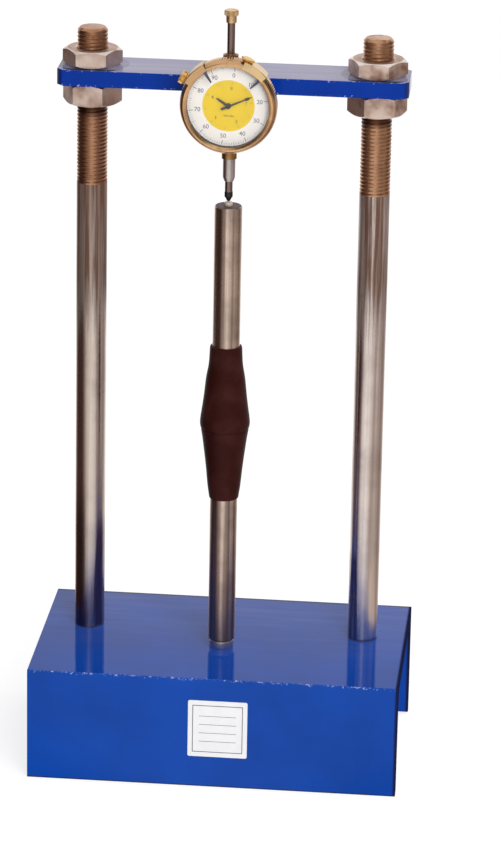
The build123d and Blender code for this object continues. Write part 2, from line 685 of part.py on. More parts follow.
def make_dial_case():
    """Round case, open at both ends, with the bosses for the stem and the upper bush."""
    groove = RUNNING_CLEARANCE + SNAP_RING_HALF_WIDTH
    outline = [
        (CASE_REAR_BORE, -CASE_BACK_DEPTH),
        (CASE_RADIUS, -CASE_BACK_DEPTH),
        (CASE_RADIUS, SNAP_RING_FRONT - groove),
        (CASE_RADIUS - SNAP_RING_DEPTH, SNAP_RING_FRONT - groove),
        (CASE_RADIUS - SNAP_RING_DEPTH, SNAP_RING_FRONT + groove),
        (CASE_RADIUS, SNAP_RING_FRONT + groove),
        (CASE_RADIUS, CASE_RIM_FRONT),
        (CASE_FRONT_BORE, CASE_RIM_FRONT),
        (CASE_FRONT_BORE, CASE_LEDGE_FRONT),
        (CASE_REAR_BORE, CASE_LEDGE_FRONT),
    ]
    case = turned_dial(outline)
    case += along_z(LOWER_BOSS_RADIUS, DIAL_Z - LOWER_BOSS_DROP, DIAL_Z - BOSS_ROOT, 0, STEM_Y)
    case += along_z(UPPER_BOSS_RADIUS, DIAL_Z + BOSS_ROOT, DIAL_Z + UPPER_BOSS_RISE, 0, STEM_Y)
    case -= along_z(
        STEM_RADIUS + PRESS_CLEARANCE, DIAL_Z - LOWER_BOSS_DROP - OVERRUN, DIAL_Z, 0, STEM_Y
    )
    case -= along_z(
        UPPER_BUSH_RADIUS + PRESS_CLEARANCE, DIAL_Z, DIAL_Z + UPPER_BOSS_RISE + OVERRUN, 0, STEM_Y
    )
    depth = BACK_SCREW_LENGTH + PRESS_CLEARANCE - CASE_BACK_DEPTH
    for hole in screw_ring(BACK_SCREW_RADIUS + PRESS_CLEARANCE, -CASE_BACK_DEPTH - OVERRUN, depth):
        case -= hole
    return case


def make_back_cover():
    """Back cover in one piece with the lug that goes under the crossbar."""
    cover = along_y(CASE_RADIUS, -COVER_REAR_DEPTH, -CASE_BACK_DEPTH)
    lug = block(
        (-LUG_HALF_WIDTH, LUG_HALF_WIDTH),
        (STEM_Y + CASE_BACK_DEPTH, LUG_SCREW_Y),
        (DIAL_Z - LUG_THICKNESS / 2, DIAL_Z + LUG_THICKNESS / 2),
    )
    low, high = DIAL_Z - LUG_THICKNESS / 2, DIAL_Z + LUG_THICKNESS / 2
    cover += lug + along_z(LUG_HALF_WIDTH, low, high, 0, LUG_SCREW_Y)
    cover -= along_z(
        LUG_SCREW_RADIUS + BOLT_CLEARANCE, low - OVERRUN, high + OVERRUN, 0, LUG_SCREW_Y
    )
    head_floor = BACK_SCREW_HEAD_HEIGHT - COVER_REAR_DEPTH
    for hole in screw_ring(
        BACK_SCREW_RADIUS + PRESS_CLEARANCE, -COVER_REAR_DEPTH - OVERRUN, OVERRUN - CASE_BACK_DEPTH
    ):
        cover -= hole
    for sink in screw_ring(
        BACK_SCREW_HEAD_RADIUS + PRESS_CLEARANCE, -COVER_REAR_DEPTH - OVERRUN, head_floor
    ):
        cover -= sink
    return cover


def make_back_screws():
    """Four small screws that hold the back cover."""
    head_floor = BACK_SCREW_HEAD_HEIGHT - COVER_REAR_DEPTH
    shanks = screw_ring(BACK_SCREW_RADIUS, head_floor, BACK_SCREW_LENGTH - CASE_BACK_DEPTH)
    heads = screw_ring(BACK_SCREW_HEAD_RADIUS, -COVER_REAR_DEPTH, head_floor)
    return [shank + head for shank, head in zip(shanks, heads)]


def make_lower_stem():
    """Ground stem tube that guides the spindle below the case."""
    bottom = DIAL_Z - STEM_DROP
    bore = SPINDLE_RADIUS + RUNNING_CLEARANCE
    outline = [
        (bore, bottom),
        (STEM_RADIUS - STEM_END_CHAMFER, bottom),
        (STEM_RADIUS, bottom + STEM_END_CHAMFER),
        (STEM_RADIUS, DIAL_Z - STEM_SEAT),
        (bore, DIAL_Z - STEM_SEAT),
    ]
    return turned_z(outline, 0, STEM_Y)


def make_upper_bush():
    """Bush that guides the spindle above the case."""
    top = DIAL_Z + UPPER_BOSS_RISE + UPPER_BUSH_PROUD
    bore = SPINDLE_RADIUS + RUNNING_CLEARANCE
    tube = along_z(UPPER_BUSH_RADIUS, DIAL_Z + STEM_SEAT, top, 0, STEM_Y)
    return tube - along_z(bore, DIAL_Z, top + OVERRUN, 0, STEM_Y)


def make_spindle():
    """Spindle with its rack, and holes for the contact point and the guide pin."""
    bottom = DIAL_Z - SPINDLE_DROP
    rod = along_z(SPINDLE_RADIUS, bottom, DIAL_Z + SPINDLE_RISE, 0, STEM_Y)
    addendum = GEAR_MODULE * GEAR_ADDENDUM_SHARE
    dedendum = GEAR_MODULE * GEAR_DEDENDUM_SHARE
    flat = -RACK_PITCH_LINE - addendum
    root = -RACK_PITCH_LINE + dedendum
    teeth_above = int(RACK_PINION_RADIUS / GEAR_PITCH) + 1
    teeth_below = int((2 * SPINDLE_TRAVEL + RACK_PINION_RADIUS) / GEAR_PITCH) + 1
    centre = DIAL_Z + TRAIN_Z
    low = centre - (teeth_below + GEAR_TIP_SHARE) * GEAR_PITCH
    high = centre + (teeth_above + GEAR_TIP_SHARE) * GEAR_PITCH
    sides = (STEM_Y - SPINDLE_RADIUS - OVERRUN, STEM_Y + SPINDLE_RADIUS + OVERRUN)
    rod -= block((-SPINDLE_RADIUS - OVERRUN, flat), sides, (low, high))
    mouth = (1 - 2 * GEAR_TIP_SHARE) * GEAR_PITCH / 2
    floor = (1 - 2 * GEAR_ROOT_SHARE) * GEAR_PITCH / 2
    for tooth in range(-teeth_below, teeth_above):
        middle = centre + tooth * GEAR_PITCH
        points = [
            (flat - addendum, sides[0], middle - mouth),
            (flat, sides[0], middle - mouth),
            (root, sides[0], middle - floor),
            (root, sides[0], middle + floor),
            (flat, sides[0], middle + mouth),
            (flat - addendum, sides[0], middle + mouth),
        ]
        gap = make_face(Polyline(*points, close=True))
        rod -= extrude(gap, amount=sides[1] - sides[0], dir=(0, 1, 0))
    rod -= along_z(
        CONTACT_STUD_RADIUS + PRESS_CLEARANCE,
        bottom - OVERRUN,
        bottom + CONTACT_STUD_LENGTH + PRESS_CLEARANCE,
        0,
        STEM_Y,
    )
    pin_start = SPINDLE_RADIUS - GUIDE_PIN_DEPTH - PRESS_CLEARANCE
    return rod - along_x(
        GUIDE_PIN_RADIUS + PRESS_CLEARANCE,
        pin_start,
        SPINDLE_RADIUS + OVERRUN,
        STEM_Y,
        DIAL_Z + GUIDE_PIN_RISE,
    )


def make_contact_point():
    """Screwed-in contact point with a rounded tip."""
    top = DIAL_Z - SPINDLE_DROP
    body_bottom = top - CONTACT_BODY_LENGTH
    ball_centre = CONTACT_BOTTOM + CONTACT_BALL_RADIUS
    outline = [
        (0, ball_centre),
        (CONTACT_BALL_RADIUS, ball_centre),
        (CONTACT_BODY_RADIUS, body_bottom),
        (CONTACT_BODY_RADIUS, top),
        (CONTACT_STUD_RADIUS, top),
        (CONTACT_STUD_RADIUS, top + CONTACT_STUD_LENGTH),
        (0, top + CONTACT_STUD_LENGTH),
    ]
    return turned_z(outline, 0, STEM_Y) + Pos(0, STEM_Y, ball_centre) * Sphere(CONTACT_BALL_RADIUS)


def make_lifting_cap():
    """Cap on the spindle's top end, by which it is lifted."""
    spindle_top = DIAL_Z + SPINDLE_RISE
    top = spindle_top + CAP_DISC_HEIGHT - CAP_EDGE_CHAMFER
    disc_bottom = top - CAP_DISC_HEIGHT
    bottom = disc_bottom - CAP_COLLAR_HEIGHT
    bore = SPINDLE_RADIUS + PRESS_CLEARANCE
    outline = [
        (bore, bottom),
        (CAP_COLLAR_RADIUS, bottom),
        (CAP_COLLAR_RADIUS, disc_bottom),
        (CAP_RADIUS, disc_bottom),
        (CAP_RADIUS, top - CAP_EDGE_CHAMFER),
        (CAP_RADIUS - CAP_EDGE_CHAMFER, top),
        (0, top),
        (0, spindle_top + PRESS_CLEARANCE),
        (bore, spindle_top + PRESS_CLEARANCE),
    ]
    return turned_z(outline, 0, STEM_Y)


def make_guide_pin():
    """Pin across the spindle, which runs in the guide block and pulls the spring."""
    return along_x(
        GUIDE_PIN_RADIUS,
        SPINDLE_RADIUS - GUIDE_PIN_DEPTH,
        GUIDE_PIN_REACH,
        STEM_Y,
        DIAL_Z + GUIDE_PIN_RISE,
    )


def make_guide_block():
    """Slotted block behind the main plate, which keeps the spindle from turning."""
    slot = GUIDE_PIN_RADIUS + RUNNING_CLEARANCE
    pin_z = DIAL_Z + GUIDE_PIN_RISE
    low, high = pin_z - slot, pin_z + SPINDLE_TRAVEL + slot
    body = block(
        (GUIDE_BLOCK_NEAR, GUIDE_BLOCK_NEAR + GUIDE_BLOCK_WIDTH),
        (STEM_Y - CASE_LEDGE_FRONT, STEM_Y + GUIDE_BLOCK_REAR),
        (low - GUIDE_BLOCK_END, high + GUIDE_BLOCK_END),
    )
    return body - block(
        (GUIDE_BLOCK_NEAR - OVERRUN, GUIDE_BLOCK_NEAR + GUIDE_BLOCK_WIDTH + OVERRUN),
        (STEM_Y - slot, STEM_Y + slot),
        (low - RUNNING_CLEARANCE, high + RUNNING_CLEARANCE),
    )


def make_spring_anchor():
    """Post on the back of the main plate, which holds the spring's lower eye."""
    return along_y(
        GUIDE_PIN_RADIUS,
        -SPRING_ANCHOR_TAIL,
        CASE_LEDGE_FRONT,
        SPRING_OFFSET,
        -SPRING_ANCHOR_DROP,
    )


def make_return_spring():
    """Close-wound tension spring between the anchor and the guide pin."""
    low = DIAL_Z - SPRING_ANCHOR_DROP
    high = DIAL_Z + GUIDE_PIN_RISE
    outline = [(SPRING_BORE_RADIUS, low + SPRING_EYE_RADIUS)]
    outline += thread_outline(
        SPRING_RADIUS,
        SPRING_WIRE_PITCH,
        SPRING_GROOVE_DEPTH,
        low + SPRING_EYE_RADIUS,
        high - SPRING_EYE_RADIUS,
    )
    outline.append((SPRING_BORE_RADIUS, outline[-1][1]))
    coil = turned_z(outline, SPRING_OFFSET, STEM_Y)
    eye = Torus(SPRING_EYE_RADIUS, SPRING_EYE_WIRE_RADIUS)
    bridge_high = outline[-1][1]
    wire = SPRING_EYE_WIRE_RADIUS
    ends = Pos(SPRING_OFFSET, STEM_Y, low) * Rot(90, 0, 0) * eye
    ends += Pos(SPRING_OFFSET, STEM_Y, high) * Rot(0, 90, 0) * eye
    ends += along_x(
        wire, SPRING_OFFSET - SPRING_RADIUS + wire, SPRING_OFFSET + SPRING_RADIUS - wire,
        STEM_Y, low + SPRING_EYE_RADIUS,
    )
    ends += Pos(SPRING_OFFSET, STEM_Y, bridge_high) * Rot(90, 0, 0) * Cylinder(
        high - SPRING_EYE_RADIUS - bridge_high + wire, 2 * (SPRING_RADIUS - wire)
    )
    return coil + ends


def arbor_holes(radius, rear, front):
    """Cylinders where the train's arbors pass a plate."""
    places = [(TRAIN_X, TRAIN_Z), (TAKE_UP_X, TAKE_UP_Z), (0, 0)]
    return [along_y(radius, rear, front, x, z) for x, z in places]


def make_main_plate():
    """Plate on the case's ledge, which carries the posts and the rear pivots."""
    plate = along_y(CASE_FRONT_BORE - PLATE_CLEARANCE, CASE_LEDGE_FRONT, MAIN_PLATE_FRONT)
    rear, front = CASE_LEDGE_FRONT - OVERRUN, MAIN_PLATE_FRONT + OVERRUN
    for hole in arbor_holes(ARBOR_RADIUS + RUNNING_CLEARANCE, rear, front):
        plate -= hole
    return plate


def make_top_plate():
    """Plate over the gear train, with the front pivots and the counter tube's hole."""
    top_front = TOP_PLATE_FRONT + TOP_PLATE_THICKNESS
    plate = along_y(CASE_FRONT_BORE - PLATE_CLEARANCE, TOP_PLATE_FRONT, top_front)
    rear, front = TOP_PLATE_FRONT - OVERRUN, top_front + OVERRUN
    for hole in arbor_holes(ARBOR_RADIUS + RUNNING_CLEARANCE, rear, front):
        plate -= hole
    plate -= along_y(COUNTER_TUBE_RADIUS + RUNNING_CLEARANCE, rear, front)
    for angle in POST_ANGLES:
        x, z = polar(POST_RING_RADIUS, angle)
        plate -= along_y(POST_SCREW_RADIUS + PRESS_CLEARANCE, rear, front, x, z)
    return plate


def make_plate_posts():
    """Three posts between the plates, tapped at the front."""
    posts = []
    for angle in POST_ANGLES:
        x, z = polar(POST_RING_RADIUS, angle)
        post = along_y(POST_RADIUS, MAIN_PLATE_FRONT, TOP_PLATE_FRONT, x, z)
        depth = TOP_PLATE_FRONT - POST_SCREW_LENGTH - PRESS_CLEARANCE
        hole = along_y(POST_SCREW_RADIUS + PRESS_CLEARANCE, depth, TOP_PLATE_FRONT + OVERRUN, x, z)
        posts.append(post - hole)
    return posts


def make_plate_screws():
    """Screws that hold the top plate on its posts."""
    head_rear = TOP_PLATE_FRONT + TOP_PLATE_THICKNESS
    screws = []
    for angle in POST_ANGLES:
        x, z = polar(POST_RING_RADIUS, angle)
        shank = along_y(POST_SCREW_RADIUS, TOP_PLATE_FRONT - POST_SCREW_LENGTH, head_rear, x, z)
        head = along_y(
            POST_SCREW_HEAD_RADIUS, head_rear, head_rear + POST_SCREW_HEAD_HEIGHT, x, z
        )
        screws.append(shank + head)
    return screws


def windowed(wheel, x, z):
    """Wheel with round windows and a bore for its arbor."""
    rear, front = WHEEL_FRONT - OVERRUN, WHEEL_FRONT + WHEEL_THICKNESS + OVERRUN
    for index in range(WHEEL_WINDOWS):
        across, up = polar(WHEEL_WINDOW_RING_RADIUS, index * 360 / WHEEL_WINDOWS)
        wheel -= along_y(WHEEL_WINDOW_RADIUS, rear, front, x + across, z + up)
    return wheel - along_y(ARBOR_RADIUS + PRESS_CLEARANCE, rear, front, x, z)


def make_rack_pinion_arbor():
    """Arbor that carries the rack pinion behind the main plate."""
    front = TOP_PLATE_FRONT + TOP_PLATE_THICKNESS
    rear = -RACK_PINION_HALF_WIDTH - RACK_PINION_TAIL
    pinion = gear(
        RACK_PINION_TEETH, 0, -RACK_PINION_HALF_WIDTH, RACK_PINION_HALF_WIDTH, TRAIN_X, TRAIN_Z
    )
    return pinion + along_y(ARBOR_RADIUS, rear, front, TRAIN_X, TRAIN_Z)


def train_phase():
    """Tooth angle of the train's wheels, with a tooth towards the centre."""
    return TRAIN_ANGLE + HALF_TURN


def make_train_wheel():
    """Large wheel on the rack pinion's arbor."""
    front = WHEEL_FRONT + WHEEL_THICKNESS
    wheel = gear(WHEEL_TEETH, train_phase(), WHEEL_FRONT, front, TRAIN_X, TRAIN_Z)
    return windowed(wheel, TRAIN_X, TRAIN_Z)


def make_counter_drive_wheel():
    """Wheel on the rack pinion's arbor that drives the counter hand."""
    front = COUNTER_WHEEL_FRONT + COUNTER_WHEEL_THICKNESS
    wheel = gear(COUNTER_TEETH, train_phase(), COUNTER_WHEEL_FRONT, front, TRAIN_X, TRAIN_Z)
    rear = COUNTER_WHEEL_FRONT - OVERRUN
    bore = ARBOR_RADIUS + PRESS_CLEARANCE
    return wheel - along_y(bore, rear, front + OVERRUN, TRAIN_X, TRAIN_Z)


def centre_phase():
    """Tooth angle of the centre pinion, in mesh with the large wheel."""
    return mesh_phase(train_phase(), WHEEL_TEETH, CENTRE_PINION_TEETH, train_phase())


def make_centre_arbor():
    """Arbor with the centre pinion, which carries the main pointer."""
    rear = WHEEL_FRONT - PINION_MARGIN
    front = WHEEL_FRONT + WHEEL_THICKNESS + PINION_MARGIN
    pinion = gear(CENTRE_PINION_TEETH, centre_phase(), rear, front)
    return pinion + along_y(ARBOR_RADIUS, CASE_LEDGE_FRONT, POINTER_FRONT + HAND_THICKNESS)


def make_counter_wheel():
    """Counter wheel with the tube that carries the counter hand."""
    front = COUNTER_WHEEL_FRONT + COUNTER_WHEEL_THICKNESS
    phase = mesh_phase(train_phase(), COUNTER_TEETH, COUNTER_TEETH, train_phase())
    wheel = gear(COUNTER_TEETH, phase, COUNTER_WHEEL_FRONT, front)
    wheel += along_y(COUNTER_TUBE_RADIUS, COUNTER_WHEEL_FRONT, COUNTER_HAND_FRONT + HAND_THICKNESS)
    rear = COUNTER_WHEEL_FRONT - OVERRUN
    return wheel - along_y(ARBOR_RADIUS + RUNNING_CLEARANCE, rear, POINTER_FRONT)


def make_take_up_arbor():
    """Arbor of the take-up wheel, with the collet of the hairspring."""
    front = TOP_PLATE_FRONT + TOP_PLATE_THICKNESS
    arbor = along_y(ARBOR_RADIUS, CASE_LEDGE_FRONT, front, TAKE_UP_X, TAKE_UP_Z)
    collet_front = HAIRSPRING_FRONT + HAIRSPRING_WIDTH
    return arbor + along_y(
        HAIRSPRING_COLLET_RADIUS - HAIRSPRING_THICKNESS / 2 - PRESS_CLEARANCE,
        HAIRSPRING_FRONT,
        collet_front,
        TAKE_UP_X,
        TAKE_UP_Z,
    )


def make_take_up_wheel():
    """Wheel that takes up the train's play through the centre pinion."""
    phase = mesh_phase(centre_phase(), CENTRE_PINION_TEETH, WHEEL_TEETH, TAKE_UP_ANGLE)
    front = WHEEL_FRONT + WHEEL_THICKNESS
    wheel = gear(WHEEL_TEETH, phase, WHEEL_FRONT, front, TAKE_UP_X, TAKE_UP_Z)
    return windowed(wheel, TAKE_UP_X, TAKE_UP_Z)


def make_hairspring():
    """Flat spiral of half rings round the take-up arbor's collet."""
    front = HAIRSPRING_FRONT + HAIRSPRING_WIDTH
    spiral = None
    for half in range(2 * HAIRSPRING_TURNS):
        radius = HAIRSPRING_START_RADIUS + half * HAIRSPRING_PITCH / 2
        shift = 0 if half % 2 == 0 else -HAIRSPRING_PITCH / 2
        side = 1 if half % 2 == 0 else -1
        x = TAKE_UP_X + shift
        ring = along_y(radius + HAIRSPRING_THICKNESS / 2, HAIRSPRING_FRONT, front, x, TAKE_UP_Z)
        ring -= along_y(
            radius - HAIRSPRING_THICKNESS / 2,
            HAIRSPRING_FRONT - OVERRUN,
            front + OVERRUN,
            x,
            TAKE_UP_Z,
        )
        reach = radius + OVERRUN
        middle = DIAL_Z + TAKE_UP_Z
        heights = (middle, middle + reach) if side > 0 else (middle - reach, middle)
        ring &= block(
            (x - reach, x + reach),
            (STEM_Y - front - OVERRUN, STEM_Y - HAIRSPRING_FRONT + OVERRUN),
            heights,
        )
        spiral = ring if spiral is None else spiral + ring
    return spiral


def make_hand(length, tail, front, angle, bore):
    """Tapered hand with a round hub, at an angle seen from the front."""
    points = [
        (-tail, HAND_TIP_HALF_WIDTH),
        (0, HAND_ROOT_HALF_WIDTH),
        (length, HAND_TIP_HALF_WIDTH),
        (length, -HAND_TIP_HALF_WIDTH),
        (0, -HAND_ROOT_HALF_WIDTH),
        (-tail, -HAND_TIP_HALF_WIDTH),
    ]
    flat = [(x, STEM_Y - front, DIAL_Z + z) for x, z in points]
    blade = extrude(make_face(Polyline(*flat, close=True)), amount=HAND_THICKNESS, dir=(0, -1, 0))
    hand = blade.rotate(DIAL_AXIS, angle) + along_y(
        HAND_HUB_RADIUS, front + HAND_THICKNESS - HAND_HUB_HEIGHT, front + HAND_THICKNESS
    )
    return hand - along_y(bore, front - HAND_HUB_HEIGHT, front + HAND_HUB_HEIGHT)


def make_main_pointer():
    """Main pointer on the centre arbor."""
    bore = ARBOR_RADIUS + PRESS_CLEARANCE
    return make_hand(POINTER_LENGTH, POINTER_TAIL, POINTER_FRONT, POINTER_ANGLE, bore)


def make_counter_hand():
    """Short hand on the counter tube, which counts the pointer's turns."""
    bore = COUNTER_TUBE_RADIUS + PRESS_CLEARANCE
    return make_hand(
        COUNTER_HAND_LENGTH, 0, COUNTER_HAND_FRONT, COUNTER_HAND_ANGLE, bore
    )


def make_dial_face():
    """Face plate that turns with the bezel."""
    face = along_y(FACE_RADIUS, FACE_FRONT, FACE_FRONT + FACE_THICKNESS)
    return face - along_y(FACE_HOLE_RADIUS, FACE_FRONT - OVERRUN, CRYSTAL_FRONT)


def make_face_spacer():
    """Ring between the face plate and the crystal."""
    outline = [
        (FACE_RADIUS - SPACER_WALL, FACE_FRONT + FACE_THICKNESS),
        (FACE_RADIUS, FACE_FRONT + FACE_THICKNESS),
        (FACE_RADIUS, CRYSTAL_FRONT),
        (FACE_RADIUS - SPACER_WALL, CRYSTAL_FRONT),
    ]
    return turned_dial(outline)


def make_crystal():
    """Clear window behind the bezel's lip."""
    return along_y(FACE_RADIUS, CRYSTAL_FRONT, BEZEL_SEAT_FRONT)


def make_bezel_ring():
    """Bezel that turns on the case's rim and holds the crystal and the face."""
    groove = SNAP_RING_HALF_WIDTH + RUNNING_CLEARANCE
    outline = [
        (BEZEL_BORE, BEZEL_REAR_FRONT),
        (BEZEL_RADIUS - BEZEL_REAR_CHAMFER, BEZEL_REAR_FRONT),
        (BEZEL_RADIUS, BEZEL_REAR_FRONT + BEZEL_REAR_CHAMFER),
        (BEZEL_RADIUS, BEZEL_FRONT - BEZEL_SHOULDER_DROP),
        (BEZEL_CREST_RADIUS, BEZEL_FRONT),
        (BEZEL_LIP_RADIUS, BEZEL_FRONT),
        (BEZEL_LIP_RADIUS, BEZEL_SEAT_FRONT),
        (BEZEL_BORE, BEZEL_SEAT_FRONT),
        (BEZEL_BORE, SNAP_RING_FRONT + groove),
        (BEZEL_BORE + SNAP_RING_HEIGHT, SNAP_RING_FRONT + groove),
        (BEZEL_BORE + SNAP_RING_HEIGHT, SNAP_RING_FRONT - groove),
        (BEZEL_BORE, SNAP_RING_FRONT - groove),
    ]
    return turned_dial(outline)


def make_bezel_snap_ring():
    """Wire ring in the grooves of case and bezel, which keeps the bezel on."""
    inner = CASE_RADIUS - SNAP_RING_DEPTH + PRESS_CLEARANCE
    outer = BEZEL_BORE + SNAP_RING_HEIGHT - RUNNING_CLEARANCE
    outline = [
        (inner, SNAP_RING_FRONT - SNAP_RING_HALF_WIDTH),
        (outer, SNAP_RING_FRONT - SNAP_RING_HALF_WIDTH),
        (outer, SNAP_RING_FRONT + SNAP_RING_HALF_WIDTH),
        (inner, SNAP_RING_FRONT + SNAP_RING_HALF_WIDTH),
    ]
    return turned_dial(outline)


def make_limit_clip(blade_angle, tab_reach):
    """Spring clip on the bezel's rim, with a blade over the face and a ribbed thumb tab."""
    inner_wall = BEZEL_RADIUS + CLIP_GAP
    outer_wall = inner_wall + CLIP_WALL
    lip_rear = BEZEL_FRONT + CLIP_GAP
    lip_front = lip_rear + CLIP_PLATE
    hook_front = BEZEL_REAR_FRONT - CLIP_GAP
    hook_rear = hook_front - CLIP_PLATE
    outline = [
        (CLIP_LIP_RADIUS, lip_rear),
        (inner_wall, lip_rear),
        (inner_wall, hook_front),
        (CLIP_HOOK_RADIUS, hook_front),
        (CLIP_HOOK_RADIUS, hook_rear),
        (outer_wall, hook_rear),
        (outer_wall, lip_front),
        (CLIP_LIP_RADIUS, lip_front),
    ]
    clip = turned_dial(outline, CLIP_SPAN_ANGLE).rotate(DIAL_AXIS, -CLIP_LEAD_ANGLE)
    blade_points = [
        (CLIP_BLADE_TIP_RADIUS, -CLIP_BLADE_TIP_HALF_WIDTH),
        (CLIP_LIP_RADIUS + CLIP_WALL, -CLIP_BLADE_HALF_WIDTH),
        (CLIP_LIP_RADIUS + CLIP_WALL, CLIP_BLADE_HALF_WIDTH),
        (CLIP_BLADE_TIP_RADIUS, CLIP_BLADE_TIP_HALF_WIDTH),
    ]
    flat = [(x, STEM_Y - lip_rear, DIAL_Z + z) for x, z in blade_points]
    clip += extrude(make_face(Polyline(*flat, close=True)), amount=CLIP_PLATE, dir=(0, -1, 0))
    tab_start = math.sqrt(outer_wall**2 - CLIP_TAB_HALF_WIDTH**2) - CLIP_WALL / 2
    tab_end = outer_wall + tab_reach
    tab_front = CLIP_TAB_REAR + CLIP_TAB_THICKNESS
    tab = block(
        (tab_start, tab_end),
        (STEM_Y - tab_front, STEM_Y - CLIP_TAB_REAR),
        (DIAL_Z - CLIP_TAB_HALF_WIDTH, DIAL_Z + CLIP_TAB_HALF_WIDTH),
    )
    for rib in range(int(tab_reach / CLIP_TAB_RIB_PITCH)):
        start = outer_wall + (rib + CLIP_TAB_RIB_SHARE / 2) * CLIP_TAB_RIB_PITCH
        tab -= block(
            (start, start + CLIP_TAB_RIB_PITCH * CLIP_TAB_RIB_SHARE),
            (STEM_Y - tab_front - OVERRUN, STEM_Y - tab_front + CLIP_TAB_RIB_DEPTH),
            (DIAL_Z - CLIP_TAB_HALF_WIDTH - OVERRUN, DIAL_Z + CLIP_TAB_HALF_WIDTH + OVERRUN),
        )
    clearance = along_y(inner_wall, hook_rear, lip_front)
    clip += (tab - clearance).rotate(DIAL_AXIS, CLIP_TAB_ANGLE)
    return clip.rotate(DIAL_AXIS, blade_angle)


save("base_channel", make_base_channel())
save("label_plate", make_label_plate())
for side, place in PILLAR_PLACES.items():
    save("pillar_" + side, make_pillar(place))
save("foot_washers", *make_foot_washers())
save("foot_nuts", *make_foot_nuts())
save("anvil_seat", make_anvil_seat())
save("anvil_washer", make_anvil_washer())
save("anvil_nut", make_anvil_nut())
save("reference_bar", make_reference_bar())
save("bar_nose", make_bar_nose())
save("bar_grip", make_bar_grip())
save("crossbar", make_crossbar())
for nut in NUT_TURNS:
    save(nut, make_clamp_nut(nut))
save("lug_screw", make_lug_screw())
save("lug_nut", make_lug_nut())
save("dial_case", make_dial_case())
save("back_cover", make_back_cover())
save("back_screws", *make_back_screws())
save("lower_stem", make_lower_stem())
save("upper_bush", make_upper_bush())
save("spindle", make_spindle())
save("contact_point", make_contact_point())
save("lifting_cap", make_lifting_cap())
save("guide_pin", make_guide_pin())
save("guide_block", make_guide_block())
save("spring_anchor", make_spring_anchor())
save("return_spring", make_return_spring())
save("main_plate", make_main_plate())
save("top_plate", make_top_plate())
save("plate_posts", *make_plate_posts())
save("plate_screws", *make_plate_screws())
save("rack_pinion_arbor", make_rack_pinion_arbor())
save("train_wheel", make_train_wheel())
save("counter_drive_wheel", make_counter_drive_wheel())
save("centre_arbor", make_centre_arbor())
save("counter_wheel", make_counter_wheel())
save("take_up_arbor", make_take_up_arbor())
save("take_up_wheel", make_take_up_wheel())
save("hairspring", make_hairspring())
save("main_pointer", make_main_pointer())
save("counter_hand", make_counter_hand())
save("dial_face", make_dial_face())
save("face_spacer", make_face_spacer())
save("crystal", make_crystal())
save("bezel_ring", make_bezel_ring())
save("bezel_snap_ring", make_bezel_snap_ring())
for clip, angle in CLIP_ANGLES.items():
    save(clip, make_limit_clip(angle, CLIP_TAB_REACHES[clip]))
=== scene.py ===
"""Visual model of a comparator stand: channel base, pillars, crossbar and dial gauge.

Sizes are in millimetres in the pieces' classes, and in metres in the meshes. The object
stands on z = 0, with x to the right, y to the back and z up, as in the frame that is loaded.
"""

import logging
import math
from collections.abc import Sequence
from dataclasses import dataclass, field, replace
from enum import Enum

import bmesh
import bpy
from mathutils import Matrix, Vector


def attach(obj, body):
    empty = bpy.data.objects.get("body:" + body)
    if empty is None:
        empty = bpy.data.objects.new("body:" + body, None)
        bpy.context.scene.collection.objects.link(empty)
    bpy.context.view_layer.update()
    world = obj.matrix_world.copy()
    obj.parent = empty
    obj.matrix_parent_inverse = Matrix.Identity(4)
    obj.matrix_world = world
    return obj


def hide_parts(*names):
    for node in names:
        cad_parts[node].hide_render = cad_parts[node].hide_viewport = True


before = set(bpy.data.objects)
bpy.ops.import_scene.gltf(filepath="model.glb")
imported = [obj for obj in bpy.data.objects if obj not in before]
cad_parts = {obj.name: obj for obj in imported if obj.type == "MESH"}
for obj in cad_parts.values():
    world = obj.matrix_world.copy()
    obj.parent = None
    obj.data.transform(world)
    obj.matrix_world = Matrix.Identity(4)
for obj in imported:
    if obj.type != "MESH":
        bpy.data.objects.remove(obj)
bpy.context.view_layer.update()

LOG = logging.getLogger("comparator_stand")
MM = 0.001
STEM_Y = -14.0
DIAL_Z = 453.8
PILLAR_Y = 15.0
PILLAR_X = 93.0

# Angles in degrees: edges stay sharp past a crease, square ribs are turned to stand on edge,
# and nearly flat faces of a node are joined.
SMOOTH_CREASE = 32.0
FLAT_CREASE = 30.0
ON_EDGE = 45.0
FLAT_WITHIN = 0.4
# An easing takes up to this share of an edge, and a face whose normal has a z in this range
# counts as a chamfer.
EASING_LIMIT = 0.45
SLOPING = (0.15, 0.97)

# Points this close are welded, in millimetres in the shapes and in metres in the nodes.
WELD_MM = 0.0005
NODE_WELD = 2e-6

FACING_READER = Matrix.Rotation(math.pi / 2, 4, "X")

MADE: dict[str, bpy.types.Material] = {}

Point = tuple[float, float]
Corner = tuple[float, float, float]
Colour = tuple[float, float, float]
Outline = tuple[Corner, ...]
Socket = bpy.types.NodeSocket


class Body(Enum):
    """Rigid groups of the frame that the pieces ride on."""

    STAND = "stand"
    CROSSBAR = "crossbar_unit"
    BEZEL = "bezel"
    CLIP_LEFT = "clip_left"
    CLIP_RIGHT = "clip_right"
    PLUNGER = "plunger"
    POINTER = "pointer"
    COUNTER = "counter"
    REFERENCE = "reference"
    NUT_LOWER_LEFT = "nut_lower_left"
    NUT_LOWER_RIGHT = "nut_lower_right"
    NUT_UPPER_LEFT = "nut_upper_left"
    NUT_UPPER_RIGHT = "nut_upper_right"


class Grain(Enum):
    """Direction in which a metal surface was finished."""

    NONE = (1.0, 1.0, 1.0)
    TURNED = (1.0, 1.0, 14.0)
    DRAWN = (14.0, 14.0, 1.0)
    MILLED = (1.0, 14.0, 14.0)


